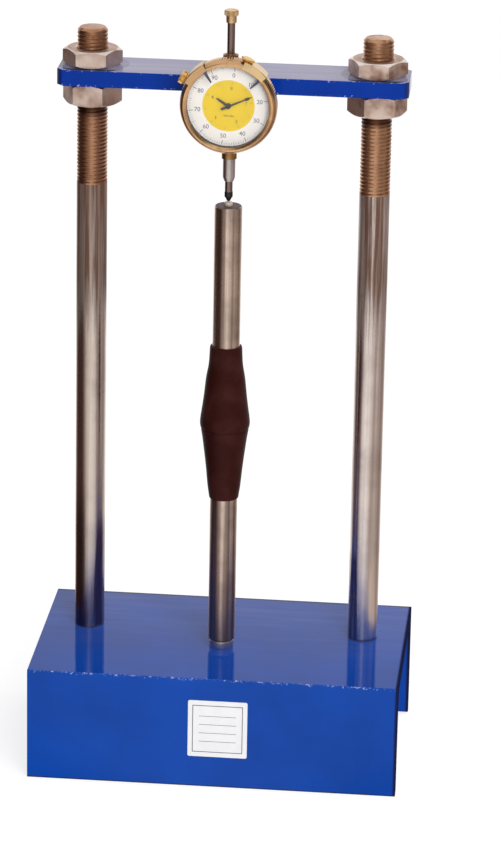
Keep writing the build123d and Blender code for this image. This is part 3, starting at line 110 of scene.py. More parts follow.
def upright(x: float, y: float) -> Matrix:
    """Placement of a shape made in millimetres about its own vertical axis."""
    return Matrix.Translation((x * MM, y * MM, 0.0)) @ Matrix.Scale(MM, 4)


def on_dial(turn: float = 0.0) -> Matrix:
    """Placement about the dial's axis, turned by degrees, with local z towards the reader."""
    facing = FACING_READER @ Matrix.Rotation(math.radians(turn), 4, "Z")
    return Matrix.Translation((0.0, STEM_Y * MM, DIAL_Z * MM)) @ facing @ Matrix.Scale(MM, 4)


class Graph:
    """A node tree, with short calls that add a node and link what goes into it.

    MIX_COLOURS are the places of a mixing node's two colour inputs, MIX_RESULT of its output.
    """

    MIX_COLOURS = (6, 7)
    MIX_RESULT = 2

    def __init__(self, tree: bpy.types.NodeTree) -> None:
        """Keep the tree and start with no nodes in it."""
        self.tree = tree
        self.tree.nodes.clear()

    def add(self, kind: str, **settings: object) -> bpy.types.Node:
        """Add a node and set its properties.

        Args:
            kind: Blender's name of the node type.
            settings: Properties of the node by name.

        Returns:
            The new node.
        """
        node = self.tree.nodes.new(kind)
        for name, value in settings.items():
            setattr(node, name, value)
        return node

    def feed(self, socket: Socket, value: object) -> None:
        """Link a socket into another, or set it to a plain value.

        Args:
            socket: Input that gets the value.
            value: Output to link, a plain value, or None to leave the input as it is.
        """
        if isinstance(value, Socket):
            self.tree.links.new(value, socket)
        elif value is not None:
            socket.default_value = value

    def math(self, operation: str, *values: object, clamp: bool = False) -> Socket:
        """Result of a Math node with the values on its inputs in order.

        Args:
            operation: Blender's name of the operation.
            values: Values or sockets.
            clamp: Whether the result is held between 0 and 1.

        Returns:
            The result's socket.
        """
        node = self.add("ShaderNodeMath", operation=operation, use_clamp=clamp)
        for index, value in enumerate(values):
            self.feed(node.inputs[index], value)
        return node.outputs[0]

    def vector(self, operation: str, *values: object) -> Socket:
        """Vector result of a Vector Math node.

        Args:
            operation: Blender's name of the operation.
            values: Vectors or sockets.

        Returns:
            The result's socket.
        """
        node = self.add("ShaderNodeVectorMath", operation=operation)
        for index, value in enumerate(values):
            self.feed(node.inputs[index], value)
        return node.outputs[0]

    def join(self, x: object, y: object, z: object) -> Socket:
        """Vector made of three values.

        Args:
            x: First value or socket.
            y: Second.
            z: Third.

        Returns:
            The vector's socket.
        """
        node = self.add("ShaderNodeCombineXYZ")
        for index, value in enumerate((x, y, z)):
            self.feed(node.inputs[index], value)
        return node.outputs[0]

    def split(self, vector: Socket) -> list[Socket]:
        """The three values of a vector.

        Args:
            vector: The vector's socket.

        Returns:
            The sockets of x, y and z.
        """
        node = self.add("ShaderNodeSeparateXYZ")
        self.feed(node.inputs[0], vector)
        return list(node.outputs)

    def place(self) -> Socket:
        """Place on the surface in metres, in the object's own frame."""
        return self.add("ShaderNodeTexCoord").outputs["Object"]

    def facing(self) -> list[Socket]:
        """The three parts of the surface's direction."""
        return self.split(self.add("ShaderNodeNewGeometry").outputs["Normal"])

    def distance(self, place: Socket, centre: Corner) -> Socket:
        """Distance in metres between two places.

        Args:
            place: The first place.
            centre: The other.

        Returns:
            The result's socket.
        """
        reach = self.add("ShaderNodeVectorMath", operation="DISTANCE")
        for index, value in enumerate((place, centre)):
            self.feed(reach.inputs[index], value)
        return reach.outputs["Value"]

    def times(self, *values: object) -> Socket:
        """Product of two or more values.

        Args:
            values: Values or sockets.

        Returns:
            The result's socket.
        """
        product = values[0]
        for value in values[1:]:
            product = self.math("MULTIPLY", product, value)
        return product

    def bearing(self, x: Socket, y: Socket) -> Socket:
        """Angle in radians round an upright axis, from the front towards the right."""
        return self.math("ARCTAN2", x, self.times(y, -1.0))

    def remap(
        self, value: object, low: float, high: float, start: float = 0.0, end: float = 1.0
    ) -> Socket:
        """Value carried smoothly from one range to another and held at its ends.

        Args:
            value: Value or socket to carry over.
            low: Value that gives start.
            high: Value that gives end.
            start: Result at low.
            end: Result at high.

        Returns:
            The result's socket.
        """
        node = self.add("ShaderNodeMapRange", interpolation_type="SMOOTHSTEP")
        for index, item in enumerate((value, low, high, start, end)):
            self.feed(node.inputs[index], item)
        return node.outputs[0]

    def noise(
        self, vector: object, scale: float, detail: float = 4.0, rough: float = 0.55
    ) -> Socket:
        """Value of a noise texture at a place.

        Args:
            vector: Place at which it is read.
            scale: Waves in a unit of length.
            detail: Number of finer layers.
            rough: Strength of each finer layer.

        Returns:
            The value's socket, from 0 to 1.
        """
        node = self.add("ShaderNodeTexNoise")
        self.feed(node.inputs["Vector"], vector)
        self.feed(node.inputs["Scale"], scale)
        self.feed(node.inputs["Detail"], detail)
        self.feed(node.inputs["Roughness"], rough)
        return node.outputs["Fac"]

    def drawn_noise(
        self, place: Socket, stretch: Corner, scale: float = 1.0, detail: float = 4.0,
        rough: float = 0.55,
    ) -> Socket:
        """Value of a noise texture that is drawn out along the axes with a small stretch."""
        return self.noise(self.vector("MULTIPLY", place, stretch), scale, detail, rough)

    def blend(self, share: object, first: object, second: object) -> Socket:
        """Colour between two colours.

        Args:
            share: 0 for the first colour, 1 for the second.
            first: Colour or socket.
            second: Colour or socket.

        Returns:
            The colour's socket.
        """
        node = self.add("ShaderNodeMix", data_type="RGBA")
        self.feed(node.inputs[0], share)
        for index, colour in zip(self.MIX_COLOURS, (first, second)):
            mixed = (*colour, 1.0) if isinstance(colour, tuple) else colour
            self.feed(node.inputs[index], mixed)
        return node.outputs[self.MIX_RESULT]

    def steps(self, value: object, stops: list[tuple[float, Colour]]) -> Socket:
        """Colour read from a row of colour stops.

        Args:
            value: Value or socket from 0 to 1.
            stops: Place and colour of each stop.

        Returns:
            The colour's socket.
        """
        node = self.add("ShaderNodeValToRGB")
        ramp = node.color_ramp
        while len(ramp.elements) < len(stops):
            ramp.elements.new(0.5)
        for element, (place, colour) in zip(ramp.elements, stops):
            element.position = place
            element.color = (*colour, 1.0)
        self.feed(node.inputs[0], value)
        return node.outputs[0]

    def bump(self, height: object, strength: float, distance: float) -> Socket:
        """Normal raised by a height.

        Args:
            height: Height from 0 to 1.
            strength: How much of the bump shows.
            distance: Height in metres at 1.

        Returns:
            The normal's socket.
        """
        node = self.add("ShaderNodeBump")
        self.feed(node.inputs["Strength"], strength)
        self.feed(node.inputs["Distance"], distance)
        self.feed(node.inputs["Height"], height)
        return node.outputs["Normal"]


@dataclass(frozen=True)
class Finish:
    """A surface finish, made once as a material of the same name."""

    name: str
    slot: str
    colour: Colour
    roughness: float = 0.5
    metallic: float = 0.0
    specular: float = 0.5
    coat: float = 0.0
    coat_roughness: float = 0.05
    coat_ior: float = 1.5
    mottling: float = 0.14

    MOTTLES = 120.0
    MOTTLE_RANGE = (0.35, 0.7)

    def material(self) -> bpy.types.Material:
        """The finish's material, made at its first use.

        Returns:
            The material.
        """
        if self.name in MADE:
            return MADE[self.name]
        made = MADE[self.name] = bpy.data.materials.new(self.name)
        made.use_nodes = True
        graph = Graph(made.node_tree)
        shader = graph.add("ShaderNodeBsdfPrincipled")
        output = graph.add("ShaderNodeOutputMaterial")
        graph.feed(output.inputs["Surface"], shader.outputs[0])
        for socket, value in (
            ("Base Color", (*self.colour, 1.0)), ("Roughness", self.roughness),
            ("Metallic", self.metallic), ("Specular IOR Level", self.specular),
            ("Coat Weight", self.coat), ("Coat Roughness", self.coat_roughness),
            ("Coat IOR", self.coat_ior),
        ):
            shader.inputs[socket].default_value = value
        made.diffuse_color = (*self.colour, 1.0)
        self.dress(graph, shader)
        return made

    def dress(self, graph: Graph, shader: bpy.types.Node) -> None:
        """Give the plain colour a slight unevenness.

        Args:
            graph: Tree that gets the nodes.
            shader: The material's shader.
        """
        patches = graph.noise(graph.place(), self.MOTTLES)
        patch = graph.remap(patches, *self.MOTTLE_RANGE)
        darker = tuple((1.0 - self.mottling) * part for part in self.colour)
        graph.feed(shader.inputs["Base Color"], graph.blend(patch, self.colour, darker))


@dataclass(frozen=True)
class GlossPaint(Finish):
    """Brushed gloss paint, nicked along given edges, with a dusty film and painted sheen on top.

    edges are (y, z) places in millimetres of edges that run along x, where the paint is nicked
    and a pale line runs that is partly a painted highlight; dark_edges are such places with the
    width of a dark line of painted shade along them, and seats (x, y) places of nuts with a
    painted shadow on the top in front of them. The dusty film and painted sheen grow from the
    first to the second y of drift. Up to dark_side, an x, the paint fades to a dark end of
    painted shade that has no gloss and is not nicked. dark_ends is how dark the painted shade is
    on the faces that look sideways.
    """

    edges: tuple[Point, ...] = ()
    dark_edges: tuple[Corner, ...] = ()
    seats: tuple[Point, ...] = ()
    seat_radius: float = 23.4
    seat_blur: float = 1.2
    # Pale colour of the nicked places and of a painted highlight line along the edges.
    nick: Colour = (0.42, 0.50, 0.72)
    # Colour of the painted shade and painted shadows.
    grime: Colour = (0.012, 0.014, 0.05)
    # Colour of the dusty film and painted sheen on top.
    dust: Colour = (0.30, 0.32, 0.50)
    dusting: float = 0.2
    dust_roughness: float = 0.25
    evenness: float = 0.5
    drift: Point = (-500.0, -400.0)
    nick_width: float = 1.3
    dark_side: float | None = None
    dark_ends: float = 0.0

    FACES_UP = (0.6, 0.95)
    FACES_SIDEWAYS = (0.4, 0.7)
    CLOUDS = (14.0, 5.0)
    CLOUD_RANGE = (0.3, 0.75)
    DEEP_SHARE = 0.78
    BRUSH_STRETCH = (18.0, 160.0, 160.0)
    SEAT_FRONT = (1.5 * MM, -2.5 * MM, 0.25, 0.95)
    EDGE_DARKNESS = 0.9
    DARK_SIDE_REACH = (2.6, 0.8)
    PEEL = (260.0, 2.0)
    PEEL_STRENGTH = 0.10
    PEEL_DEPTH = 0.00025
    BRUSH_MARKS = (3.0, 3.0)
    BRUSH_SHARE = 0.6
    DUST_MARKS = (0.9, 4.0)
    DUST_RANGE = (0.30, 0.75)
    CHANCE = (90.0, 6.0, 0.8)
    SPECKS = (700.0, 2.0, 0.6)
    NICK_RANGE = (0.50, 0.78)
    NARROWEST_NICK = 0.3
    RAGGEDNESS = (0.40, 0.60, 0.2, 1.3)
    RUBBED = (0.44, 0.62, 0.04, 0.80)
    FLECK_REACH = (5.0 * MM, 1.0 * MM)
    FLECKS = (0.64, 0.68, 0.0, 0.8)

    def dress(self, graph: Graph, shader: bpy.types.Node) -> None:
        """Add cloudiness, brush marks, dust on upward faces and nicks along the edges.

        Args:
            graph: Tree that gets the nodes.
            shader: The material's shader.
        """
        place = graph.place()
        across, _, up = graph.facing()
        lying = graph.remap(up, *self.FACES_UP)
        cloud = graph.remap(graph.noise(place, *self.CLOUDS), *self.CLOUD_RANGE)
        deep = tuple(self.DEEP_SHARE * part for part in self.colour)
        colour = graph.blend(cloud, self.colour, deep)
        # A dusty film and painted sheen on the faces that look upwards.
        dust_sheen = self.settled_dust(graph, place, lying)
        colour = graph.blend(dust_sheen, colour, self.dust)
        colour = self.dirtied(graph, place, colour, lying, across)
        worn = self.nicks(graph, place)
        # Towards dark_side the colour fades to painted shade, with the gloss and the nicked places
        # taken off.
        if self.dark_side is not None:
            start, full = ((self.dark_side - reach) * MM for reach in self.DARK_SIDE_REACH)
            end = graph.remap(graph.split(place)[0], start, full)
            colour = graph.blend(end, colour, self.grime)
            kept = graph.math("SUBTRACT", 1.0, end)
            worn = graph.times(worn, kept)
            graph.feed(shader.inputs["Coat Weight"], graph.times(kept, self.coat))
        graph.feed(shader.inputs["Base Color"], graph.blend(worn, colour, self.nick))
        rough = graph.math("MULTIPLY_ADD", dust_sheen, self.dust_roughness, self.roughness)
        graph.feed(shader.inputs["Roughness"], rough)
        brush = graph.drawn_noise(place, self.BRUSH_STRETCH, *self.BRUSH_MARKS)
        marks = graph.times(brush, self.BRUSH_SHARE)
        peel = graph.math("ADD", graph.noise(place, *self.PEEL), marks)
        normal = graph.bump(peel, self.PEEL_STRENGTH, self.PEEL_DEPTH)
        for socket in ("Normal", "Coat Normal"):
            graph.feed(shader.inputs[socket], normal)

    def settled_dust(self, graph: Graph, place: Socket, lying: Socket) -> Socket:
        """How much of the dusty film and painted sheen lies at a place.

        Args:
            graph: Tree that gets the nodes.
            place: Place on the surface.
            lying: 1 on faces that look upwards.

        Returns:
            The share's socket.
        """
        brushed = graph.drawn_noise(place, self.BRUSH_STRETCH, *self.DUST_MARKS)
        uneven = graph.remap(brushed, *self.DUST_RANGE, self.evenness, 1.0)
        drifted = graph.remap(graph.split(place)[1], *(part * MM for part in self.drift))
        return graph.times(lying, drifted, uneven, self.dusting)

    def dirtied(
        self, graph: Graph, place: Socket, colour: Socket, lying: Socket, across: Socket
    ) -> Socket:
        """Colour with painted shade: a painted shadow in front of the seats, the dark edges
        and the dark ends.

        Args:
            graph: Tree that gets the nodes.
            place: Place on the surface.
            colour: Colour so far.
            lying: 1 on faces that look upwards.
            across: Sideways part of the surface's direction.

        Returns:
            The colour's socket.
        """
        x, y, z = graph.split(place)
        # Painted shadow on the top in front of each nut.
        for seat_x, seat_y in self.seats:
            reach = graph.distance(graph.join(x, y, 0.0), (seat_x * MM, seat_y * MM, 0.0))
            outer = (self.seat_radius + self.seat_blur) * MM
            ring = graph.remap(reach, outer, self.seat_radius * MM)
            ring = graph.times(ring, graph.remap(y, *self.SEAT_FRONT), lying)
            colour = graph.blend(ring, colour, self.grime)
        # Dark lines of painted shade along the given edges.
        for edge_y, edge_z, width in self.dark_edges:
            reach = graph.distance(graph.join(0.0, y, z), (0.0, edge_y * MM, edge_z * MM))
            close = graph.remap(reach, width * MM, 0.5 * width * MM, 0.0, self.EDGE_DARKNESS)
            colour = graph.blend(close, colour, self.grime)
        # Painted shade on the faces that look sideways.
        if self.dark_ends > 0.0:
            sideways = graph.math("ABSOLUTE", across)
            ends = graph.remap(sideways, *self.FACES_SIDEWAYS, 0.0, self.dark_ends)
            colour = graph.blend(ends, colour, self.grime)
        return colour

    def nicks(self, graph: Graph, place: Socket) -> Socket:
        """1 where the paint is nicked, along the edges and in flecks close to them, and on a pale
        line along the edges that is partly a painted highlight.

        Args:
            graph: Tree that gets the nodes.
            place: Place on the surface.

        Returns:
            The result's socket.
        """
        x, y, z = graph.split(place)
        chance = graph.noise(graph.join(x, 0.0, 0.0), *self.CHANCE)
        specks = graph.noise(place, *self.SPECKS)
        widest = self.nick_width * MM
        worn: object = 0.0
        for edge_y, edge_z in self.edges:
            reach = graph.distance(graph.join(0.0, y, z), (0.0, edge_y * MM, edge_z * MM))
            wide = graph.remap(chance, *self.NICK_RANGE, self.NARROWEST_NICK * widest, widest)
            ragged = graph.times(wide, graph.remap(specks, *self.RAGGEDNESS))
            # A pale line along the edge, partly a painted highlight.
            rubbed = graph.remap(chance, *self.RUBBED)
            close = graph.times(graph.math("LESS_THAN", reach, ragged), rubbed)
            nearby = graph.remap(reach, *self.FLECK_REACH)
            fleck = graph.remap(graph.times(specks, nearby), *self.FLECKS)
            worn = graph.math("MAXIMUM", worn, graph.math("MAXIMUM", close, fleck))
        return worn


@dataclass(frozen=True)
class Metal(Finish):
    """Bare or plated metal with a grain, dull patches and, where it is old, rust.

    streaking is the strength of long upright streaks of tarnish, which partly stand for dark
    bands of reflection as painted reflection. stain_above is the height in millimetres from
    which an oily stain grows upwards, foot_stain the strength of a zone of stain and
    painted dark reflection at the foot, which fades out between foot_heights and reaches
    foot_climb millimetres higher past the bearings in foot_bearings. greased is the
    (bottom, top) of a dark band of painted shadow under the lower nuts and dull_side
    the first and last bearing of a band of painted dark reflection, which dull_below
    limits to the heights up to it. foot_shine is the strength of a painted highlight on the
    foot and dull_top how dull faces that look upwards are. Bearings are degrees from the front
    round the axis, an upright line given as (x, y). worn is the colour of eased edges
    and chamfers rubbed bright, partly a painted highlight.
    """

    metallic: float = 1.0
    tarnish: Colour = (0.25, 0.20, 0.16)
    tarnishing: float = 0.3
    rust: Colour = (0.20, 0.075, 0.03)
    rusting: float = 0.0
    rust_blur: float = 0.20
    rust_detail: float = 8.0
    patch_scale: float = 90.0
    grain: Grain = Grain.NONE
    grain_depth: float = 0.06
    waviness: float = 0.0
    stain_above: float = -1.0
    stain_least: float = 0.25
    foot_stain: float = 0.0
    foot_heights: Point = (165.0, 95.0)
    foot_climb: float = 0.0
    foot_bearings: Point = (12.0, 32.0)
    foot_colour: Colour = (0.16, 0.10, 0.10)
    foot_ring: Colour = (0.55, 0.36, 0.30)
    foot_shine: float = 0.0
    foot_bright: Colour = (1.0, 0.86, 0.76)
    greased: Point | None = None
    grease: Colour = (0.07, 0.028, 0.015)
    streaking: float = 0.0
    streak_scale: float = 260.0
    streak_shift: float = 0.0
    streak_range: Point = (0.44, 0.60)
    axis: Point = (0.0, 0.0)
    dull_side: Point | None = None
    dull_below: float = 0.0
    dull_colour: Colour = (0.24, 0.15, 0.125)
    worn: Colour | None = None
    dull_top: float = 0.0
    spread: float = 0.0

    QUARTER_TURN = 0.25
    PATCHES = (6.0, 0.62)
    PATCH_RANGE = (0.40, 0.72)
    STREAK_STRETCH = 3.0
    STREAKS = (1.0, 2.0, 0.5)
    RUNS = (1.0, 5.0, 0.6)
    RUN_RANGE = (0.36, 0.58)
    STAIN_STRETCH = (380.0, 380.0, 10.0)
    STAIN_RAGGEDNESS = 0.09
    STAIN_RISE = (0.020, 0.075)
    RUST_FINENESS = 2.3
    RUST_ROUGHNESS = 0.6
    RUST_LINE = (0.72, 0.42)
    FOOT_STRETCH = (300.0, 300.0, 14.0)
    FOOT_RUNS = (1.0, 4.0, 0.6)
    FOOT_RUN_RANGE = (0.70, 0.45, 0.3, 1.0)
    FOOT_RAGGEDNESS = 0.0012
    FOOT_RING_HEIGHTS = (0.0792, 0.0786)
    SHINE_HEIGHTS = (0.160, 0.100)
    WANDER = ((0.0, 0.0, 24.0), 1.0, 4.0)
    WANDER_SIZE = 0.24
    STRIPE_STRENGTH = 0.7
    STRIPE_BLUR = 0.2
    STRIPE_FADE = 50.0
    FACES_UP = (0.90, 0.99)
    GREASE_STRENGTH = 0.92
    GREASE_MARGIN = 2.0
    GRAIN_STRETCH = 60.0
    LINES = (14.0, 3.0, 0.6)
    LINE_RANGE = (0.3, 0.7)
    LINE_STRENGTH = 0.12
    PLAIN_LINE_STRENGTH = 0.04
    GRAIN_DARKENING = 0.45
    WORN_RANGE = (1.2, 0.1)
    SPOT_RELIEF = 0.8
    WAVES = ((70.0, 70.0, 9.0), 1.0, 3.0)
    BUMP_HEIGHT = 0.0002
    LINE_ROUGHNESS = (0.10, 0.05)
    TARNISH_ROUGHNESS = 0.20
    SPOT_ROUGHNESS = 0.35
    STAIN_DULLNESS = 0.55

    def dress(self, graph: Graph, shader: bpy.types.Node) -> None:
        """Add tarnish, rust, the grain's fine lines and their roughness.

        Args:
            graph: Tree that gets the nodes.
            shader: The material's shader.
        """
        if self.spread > 0.0:
            self.spread_upright(graph, shader)
        place = graph.place()
        centre = (self.axis[0] * MM, self.axis[1] * MM, 0.0)
        x, y, height = graph.split(graph.vector("SUBTRACT", place, centre))
        bearing = graph.bearing(x, y)
        patches = graph.noise(place, self.patch_scale, *self.PATCHES)
        patch = graph.remap(patches, *self.PATCH_RANGE)
        amount = graph.times(patch, self.tarnishing)
        colour = graph.blend(amount, self.colour, self.tarnish)
        # Tarnish streaks, partly a painted reflection of dark bands.
        if self.streaking > 0.0:
            colour = graph.blend(self.streaks(graph, place), colour, self.tarnish)
        spots: object = 0.0
        if self.rusting > 0.0 or self.stain_above > 0.0:
            spots = self.rust_spots(graph, place, height)
            colour = graph.blend(spots, colour, self.rust)
        # Painted highlight that brightens the foot.
        if self.foot_shine > 0.0:
            lit_foot = graph.remap(height, *self.SHINE_HEIGHTS, 0.0, self.foot_shine)
            colour = graph.blend(lit_foot, colour, self.foot_bright)
        # Stain and painted dark reflection at the foot.
        if self.foot_stain > 0.0:
            colour = self.stained_foot(graph, place, height, bearing, colour)
        # Band of painted dark reflection on one side.
        if self.dull_side is not None:
            stripe = self.stripe(graph, place, height, bearing)
            colour = graph.blend(stripe, colour, self.dull_colour)
        if self.dull_top > 0.0:
            lying = graph.remap(graph.facing()[2], *self.FACES_UP, 0.0, self.dull_top)
            colour = graph.blend(lying, colour, self.tarnish)
        # Painted shadow on the thread just under the lower nuts.
        if self.greased is not None:
            bottom, top = self.greased
            band = graph.remap(height, bottom * MM, top * MM, 0.0, self.GREASE_STRENGTH)
            over = graph.math("LESS_THAN", height, (top + self.GREASE_MARGIN) * MM)
            colour = graph.blend(graph.times(band, over), colour, self.grease)
        stretch = tuple(part * self.GRAIN_STRETCH for part in self.grain.value)
        lines = graph.drawn_noise(place, stretch, *self.LINES)
        plain = self.grain is Grain.NONE
        depth = self.PLAIN_LINE_STRENGTH if plain else self.LINE_STRENGTH
        darker = tuple(self.GRAIN_DARKENING * part for part in self.colour)
        colour = graph.blend(graph.remap(lines, *self.LINE_RANGE, 0.0, depth), colour, darker)
        # Eased edges and chamfers brightened as rubbed metal and partly as a painted highlight.
        if self.worn is not None:
            mark = graph.add("ShaderNodeAttribute", attribute_name="worn").outputs["Fac"]
            shine = graph.times(mark, graph.remap(patch, *self.WORN_RANGE))
            colour = graph.blend(shine, colour, self.worn)
        graph.feed(shader.inputs["Base Color"], colour)
        self.roughen(graph, shader, lines, amount, spots)
        relief = graph.math("ADD", lines, graph.times(spots, self.SPOT_RELIEF))
        if self.waviness > 0.0:
            wave = graph.drawn_noise(place, *self.WAVES)
            relief = graph.math("MULTIPLY_ADD", wave, self.waviness, relief)
        normal = graph.bump(relief, self.grain_depth, self.BUMP_HEIGHT)
        graph.feed(shader.inputs["Normal"], normal)

    def spread_upright(self, graph: Graph, shader: bpy.types.Node) -> None:
        """Draw the reflections out along the upright axis.

        Args:
            graph: Tree that gets the nodes.
            shader: The material's shader.
        """
        shader.inputs["Anisotropic"].default_value = self.spread
        shader.inputs["Anisotropic Rotation"].default_value = self.QUARTER_TURN
        tangent = graph.add("ShaderNodeTangent", direction_type="RADIAL", axis="Z")
        graph.feed(shader.inputs["Tangent"], tangent.outputs[0])

    def streaks(self, graph: Graph, place: Socket) -> Socket:
        """Strength of the long upright streaks of tarnish, which partly stand for dark bands of
        reflection as painted reflection.

        Args:
            graph: Tree that gets the nodes.
            place: Place on the surface.

        Returns:
            The result's socket.
        """
        wide = (self.streak_scale, self.streak_scale, self.STREAK_STRETCH)
        shift = (self.streak_shift, 0.0, 0.0)
        drawn = graph.vector("MULTIPLY_ADD", place, wide, shift)
        long = graph.noise(drawn, *self.STREAKS)
        return graph.remap(long, *self.streak_range, 0.0, self.streaking)

    def rust_spots(self, graph: Graph, place: Socket, height: Socket) -> Socket:
        """Strength of the rust, or of the oily stain that grows upwards.

        Args:
            graph: Tree that gets the nodes.
            place: Place on the surface.
            height: Height in metres.

        Returns:
            The result's socket.
        """
        if self.stain_above > 0.0:
            start = self.stain_above * MM
            runs = graph.drawn_noise(place, self.STAIN_STRETCH, *self.RUNS)
            lifted = graph.math("MULTIPLY_ADD", runs, self.STAIN_RAGGEDNESS, height)
            rise = graph.remap(lifted, *(start + part for part in self.STAIN_RISE))
            return graph.times(graph.remap(runs, *self.RUN_RANGE, self.stain_least, 1.0), rise)
        fineness = self.patch_scale * self.RUST_FINENESS
        flecks = graph.noise(place, fineness, self.rust_detail, self.RUST_ROUGHNESS)
        least, growth = self.RUST_LINE
        line = least - growth * self.rusting
        return graph.remap(flecks, line, line + self.rust_blur)

    def stained_foot(
        self, graph: Graph, place: Socket, height: Socket, bearing: Socket, colour: Socket
    ) -> Socket:
        """Colour with the stain and painted dark reflection at the foot, and the ring just above
        the base.

        Args:
            graph: Tree that gets the nodes.
            place: Place on the surface.
            height: Height in metres.
            bearing: Bearing round the axis in radians.
            colour: Colour so far.

        Returns:
            The colour's socket.
        """
        runs = graph.drawn_noise(place, self.FOOT_STRETCH, *self.FOOT_RUNS)
        side = graph.remap(bearing, *(math.radians(part) for part in self.foot_bearings))
        lifted = graph.math("MULTIPLY_ADD", side, -self.foot_climb * MM, height)
        start, full = (part * MM for part in self.foot_heights)
        low = graph.remap(lifted, start, full, 0.0, self.foot_stain)
        dulled = graph.times(low, graph.remap(runs, *self.FOOT_RUN_RANGE))
        colour = graph.blend(dulled, colour, self.foot_colour)
        ragged = graph.math("MULTIPLY_ADD", runs, self.FOOT_RAGGEDNESS, height)
        return graph.blend(graph.remap(ragged, *self.FOOT_RING_HEIGHTS), colour, self.foot_ring)

    def stripe(self, graph: Graph, place: Socket, height: Socket, bearing: Socket) -> Socket:
        """Strength of the band of painted dark reflection, whose sides wander a little.

        Args:
            graph: Tree that gets the nodes.
            place: Place on the surface.
            height: Height in metres.
            bearing: Bearing round the axis in radians.

        Returns:
            The strength's socket.
        """
        first, last = (math.radians(part) for part in self.dull_side)
        slow = graph.drawn_noise(place, *self.WANDER)
        wander = graph.math("MULTIPLY_ADD", slow, self.WANDER_SIZE, bearing)
        into = graph.remap(wander, first, first + self.STRIPE_BLUR)
        out = graph.remap(wander, last, last - self.STRIPE_BLUR)
        share = graph.times(into, out, self.STRIPE_STRENGTH)
        if self.dull_below > 0.0:
            start = (self.dull_below + self.STRIPE_FADE) * MM
            share = graph.times(share, graph.remap(height, start, self.dull_below * MM))
        return share

    def roughen(
        self, graph: Graph, shader: bpy.types.Node, lines: Socket, amount: Socket, spots: object
    ) -> None:
        """Set how rough and how metallic the surface is.

        Args:
            graph: Tree that gets the nodes.
            shader: The material's shader.
            lines: The grain's lines.
            amount: Strength of the tarnish.
            spots: Strength of the rust or stain.
        """
        swing, half = self.LINE_ROUGHNESS
        rough = graph.math("MULTIPLY_ADD", lines, swing, self.roughness - half)
        rough = graph.math("MULTIPLY_ADD", amount, self.TARNISH_ROUGHNESS, rough)
        rough = graph.math("MULTIPLY_ADD", spots, self.SPOT_ROUGHNESS, rough, clamp=True)
        graph.feed(shader.inputs["Roughness"], rough)
        if self.stain_above > 0.0:
            bare = graph.math("MULTIPLY_ADD", spots, -self.STAIN_DULLNESS, self.metallic)
            graph.feed(shader.inputs["Metallic"], bare)


@dataclass(frozen=True)
class Sleeve(Finish):
    """Moulded sleeve: near black, with fine pebbling and paler rubbed places."""

    rubbed: Colour = (0.046, 0.011, 0.009)

    PATCHES = (55.0, 6.0)
    PATCH_RANGE = (0.40, 0.75)
    PATCH_ROUGHNESS = 0.14
    PEBBLES = 1100.0
    LUMPS = (180.0, 3.0)
    RELIEF = (0.18, 0.0002)

    def dress(self, graph: Graph, shader: bpy.types.Node) -> None:
        """Add the rubbed places and the pebbled surface.

        Args:
            graph: Tree that gets the nodes.
            shader: The material's shader.
        """
        place = graph.place()
        patch = graph.remap(graph.noise(place, *self.PATCHES), *self.PATCH_RANGE)
        colour = graph.blend(patch, self.colour, self.rubbed)
        graph.feed(shader.inputs["Base Color"], colour)
        pebble = graph.add("ShaderNodeTexVoronoi", feature="SMOOTH_F1")
        graph.feed(pebble.inputs["Vector"], place)
        graph.feed(pebble.inputs["Scale"], self.PEBBLES)
        rough = graph.math("MULTIPLY_ADD", patch, self.PATCH_ROUGHNESS, self.roughness)
        graph.feed(shader.inputs["Roughness"], rough)
        lumps = graph.noise(place, *self.LUMPS)
        height = graph.math("ADD", pebble.outputs["Distance"], lumps)
        graph.feed(shader.inputs["Normal"], graph.bump(height, *self.RELIEF))


@dataclass(frozen=True)
class Window(Finish):
    """Clear crystal over the dial."""

    opacity: float = 0.04

    SMEARS = (0.4, 0.8, 0.02, 0.12)
    SMEAR_SCALE = 60.0

    def dress(self, graph: Graph, shader: bpy.types.Node) -> None:
        """Make it nearly see-through, with faint smears.

        Args:
            graph: Tree that gets the nodes.
            shader: The material's shader.
        """
        shader.inputs["Alpha"].default_value = self.opacity
        smear = graph.remap(graph.noise(graph.place(), self.SMEAR_SCALE), *self.SMEARS)
        graph.feed(shader.inputs["Roughness"], smear)


BRONZE: Colour = (0.46, 0.27, 0.11)
# The base's top carries a dusty film and painted sheen, and its front top edge nicked places and a
# pale line that is partly a painted highlight. A dark line of painted shade runs along its back
# top edge and a painted contact shadow along its bottom front edge; its right end fades to painted
# shade.
BASE_PAINT = GlossPaint(
    "gloss_blue_base", "blue_paint", (0.004, 0.064, 0.400), 0.42, specular=0.0,
    coat=1.0, coat_roughness=0.035, coat_ior=1.23, edges=((-75.0, 77.0),),
    dark_edges=((75.0, 76.6, 3.6), (-75.0, 0.0, 1.2)), dusting=0.30, drift=(-70.0, 110.0),
    dark_side=123.0,
)
# The crossbar's top carries a dusty film and painted sheen and a painted shadow in front of the
# upper nuts; its sideways ends are painted shade, and its front edges carry nicked places and a
# pale line that is partly a painted highlight.
BAR_PAINT = GlossPaint(
    "gloss_blue_bar", "bar_paint", (0.001, 0.034, 0.310), 0.42, specular=0.0,
    coat=1.0, coat_roughness=0.06, coat_ior=1.18, edges=((-5.0, 468.05), (-5.0, 457.05)),
    seats=((-PILLAR_X, PILLAR_Y), (PILLAR_X, PILLAR_Y)), dust=(0.52, 0.48, 0.58),
    dusting=0.78, evenness=0.80, nick_width=0.6, dark_ends=0.65,
)
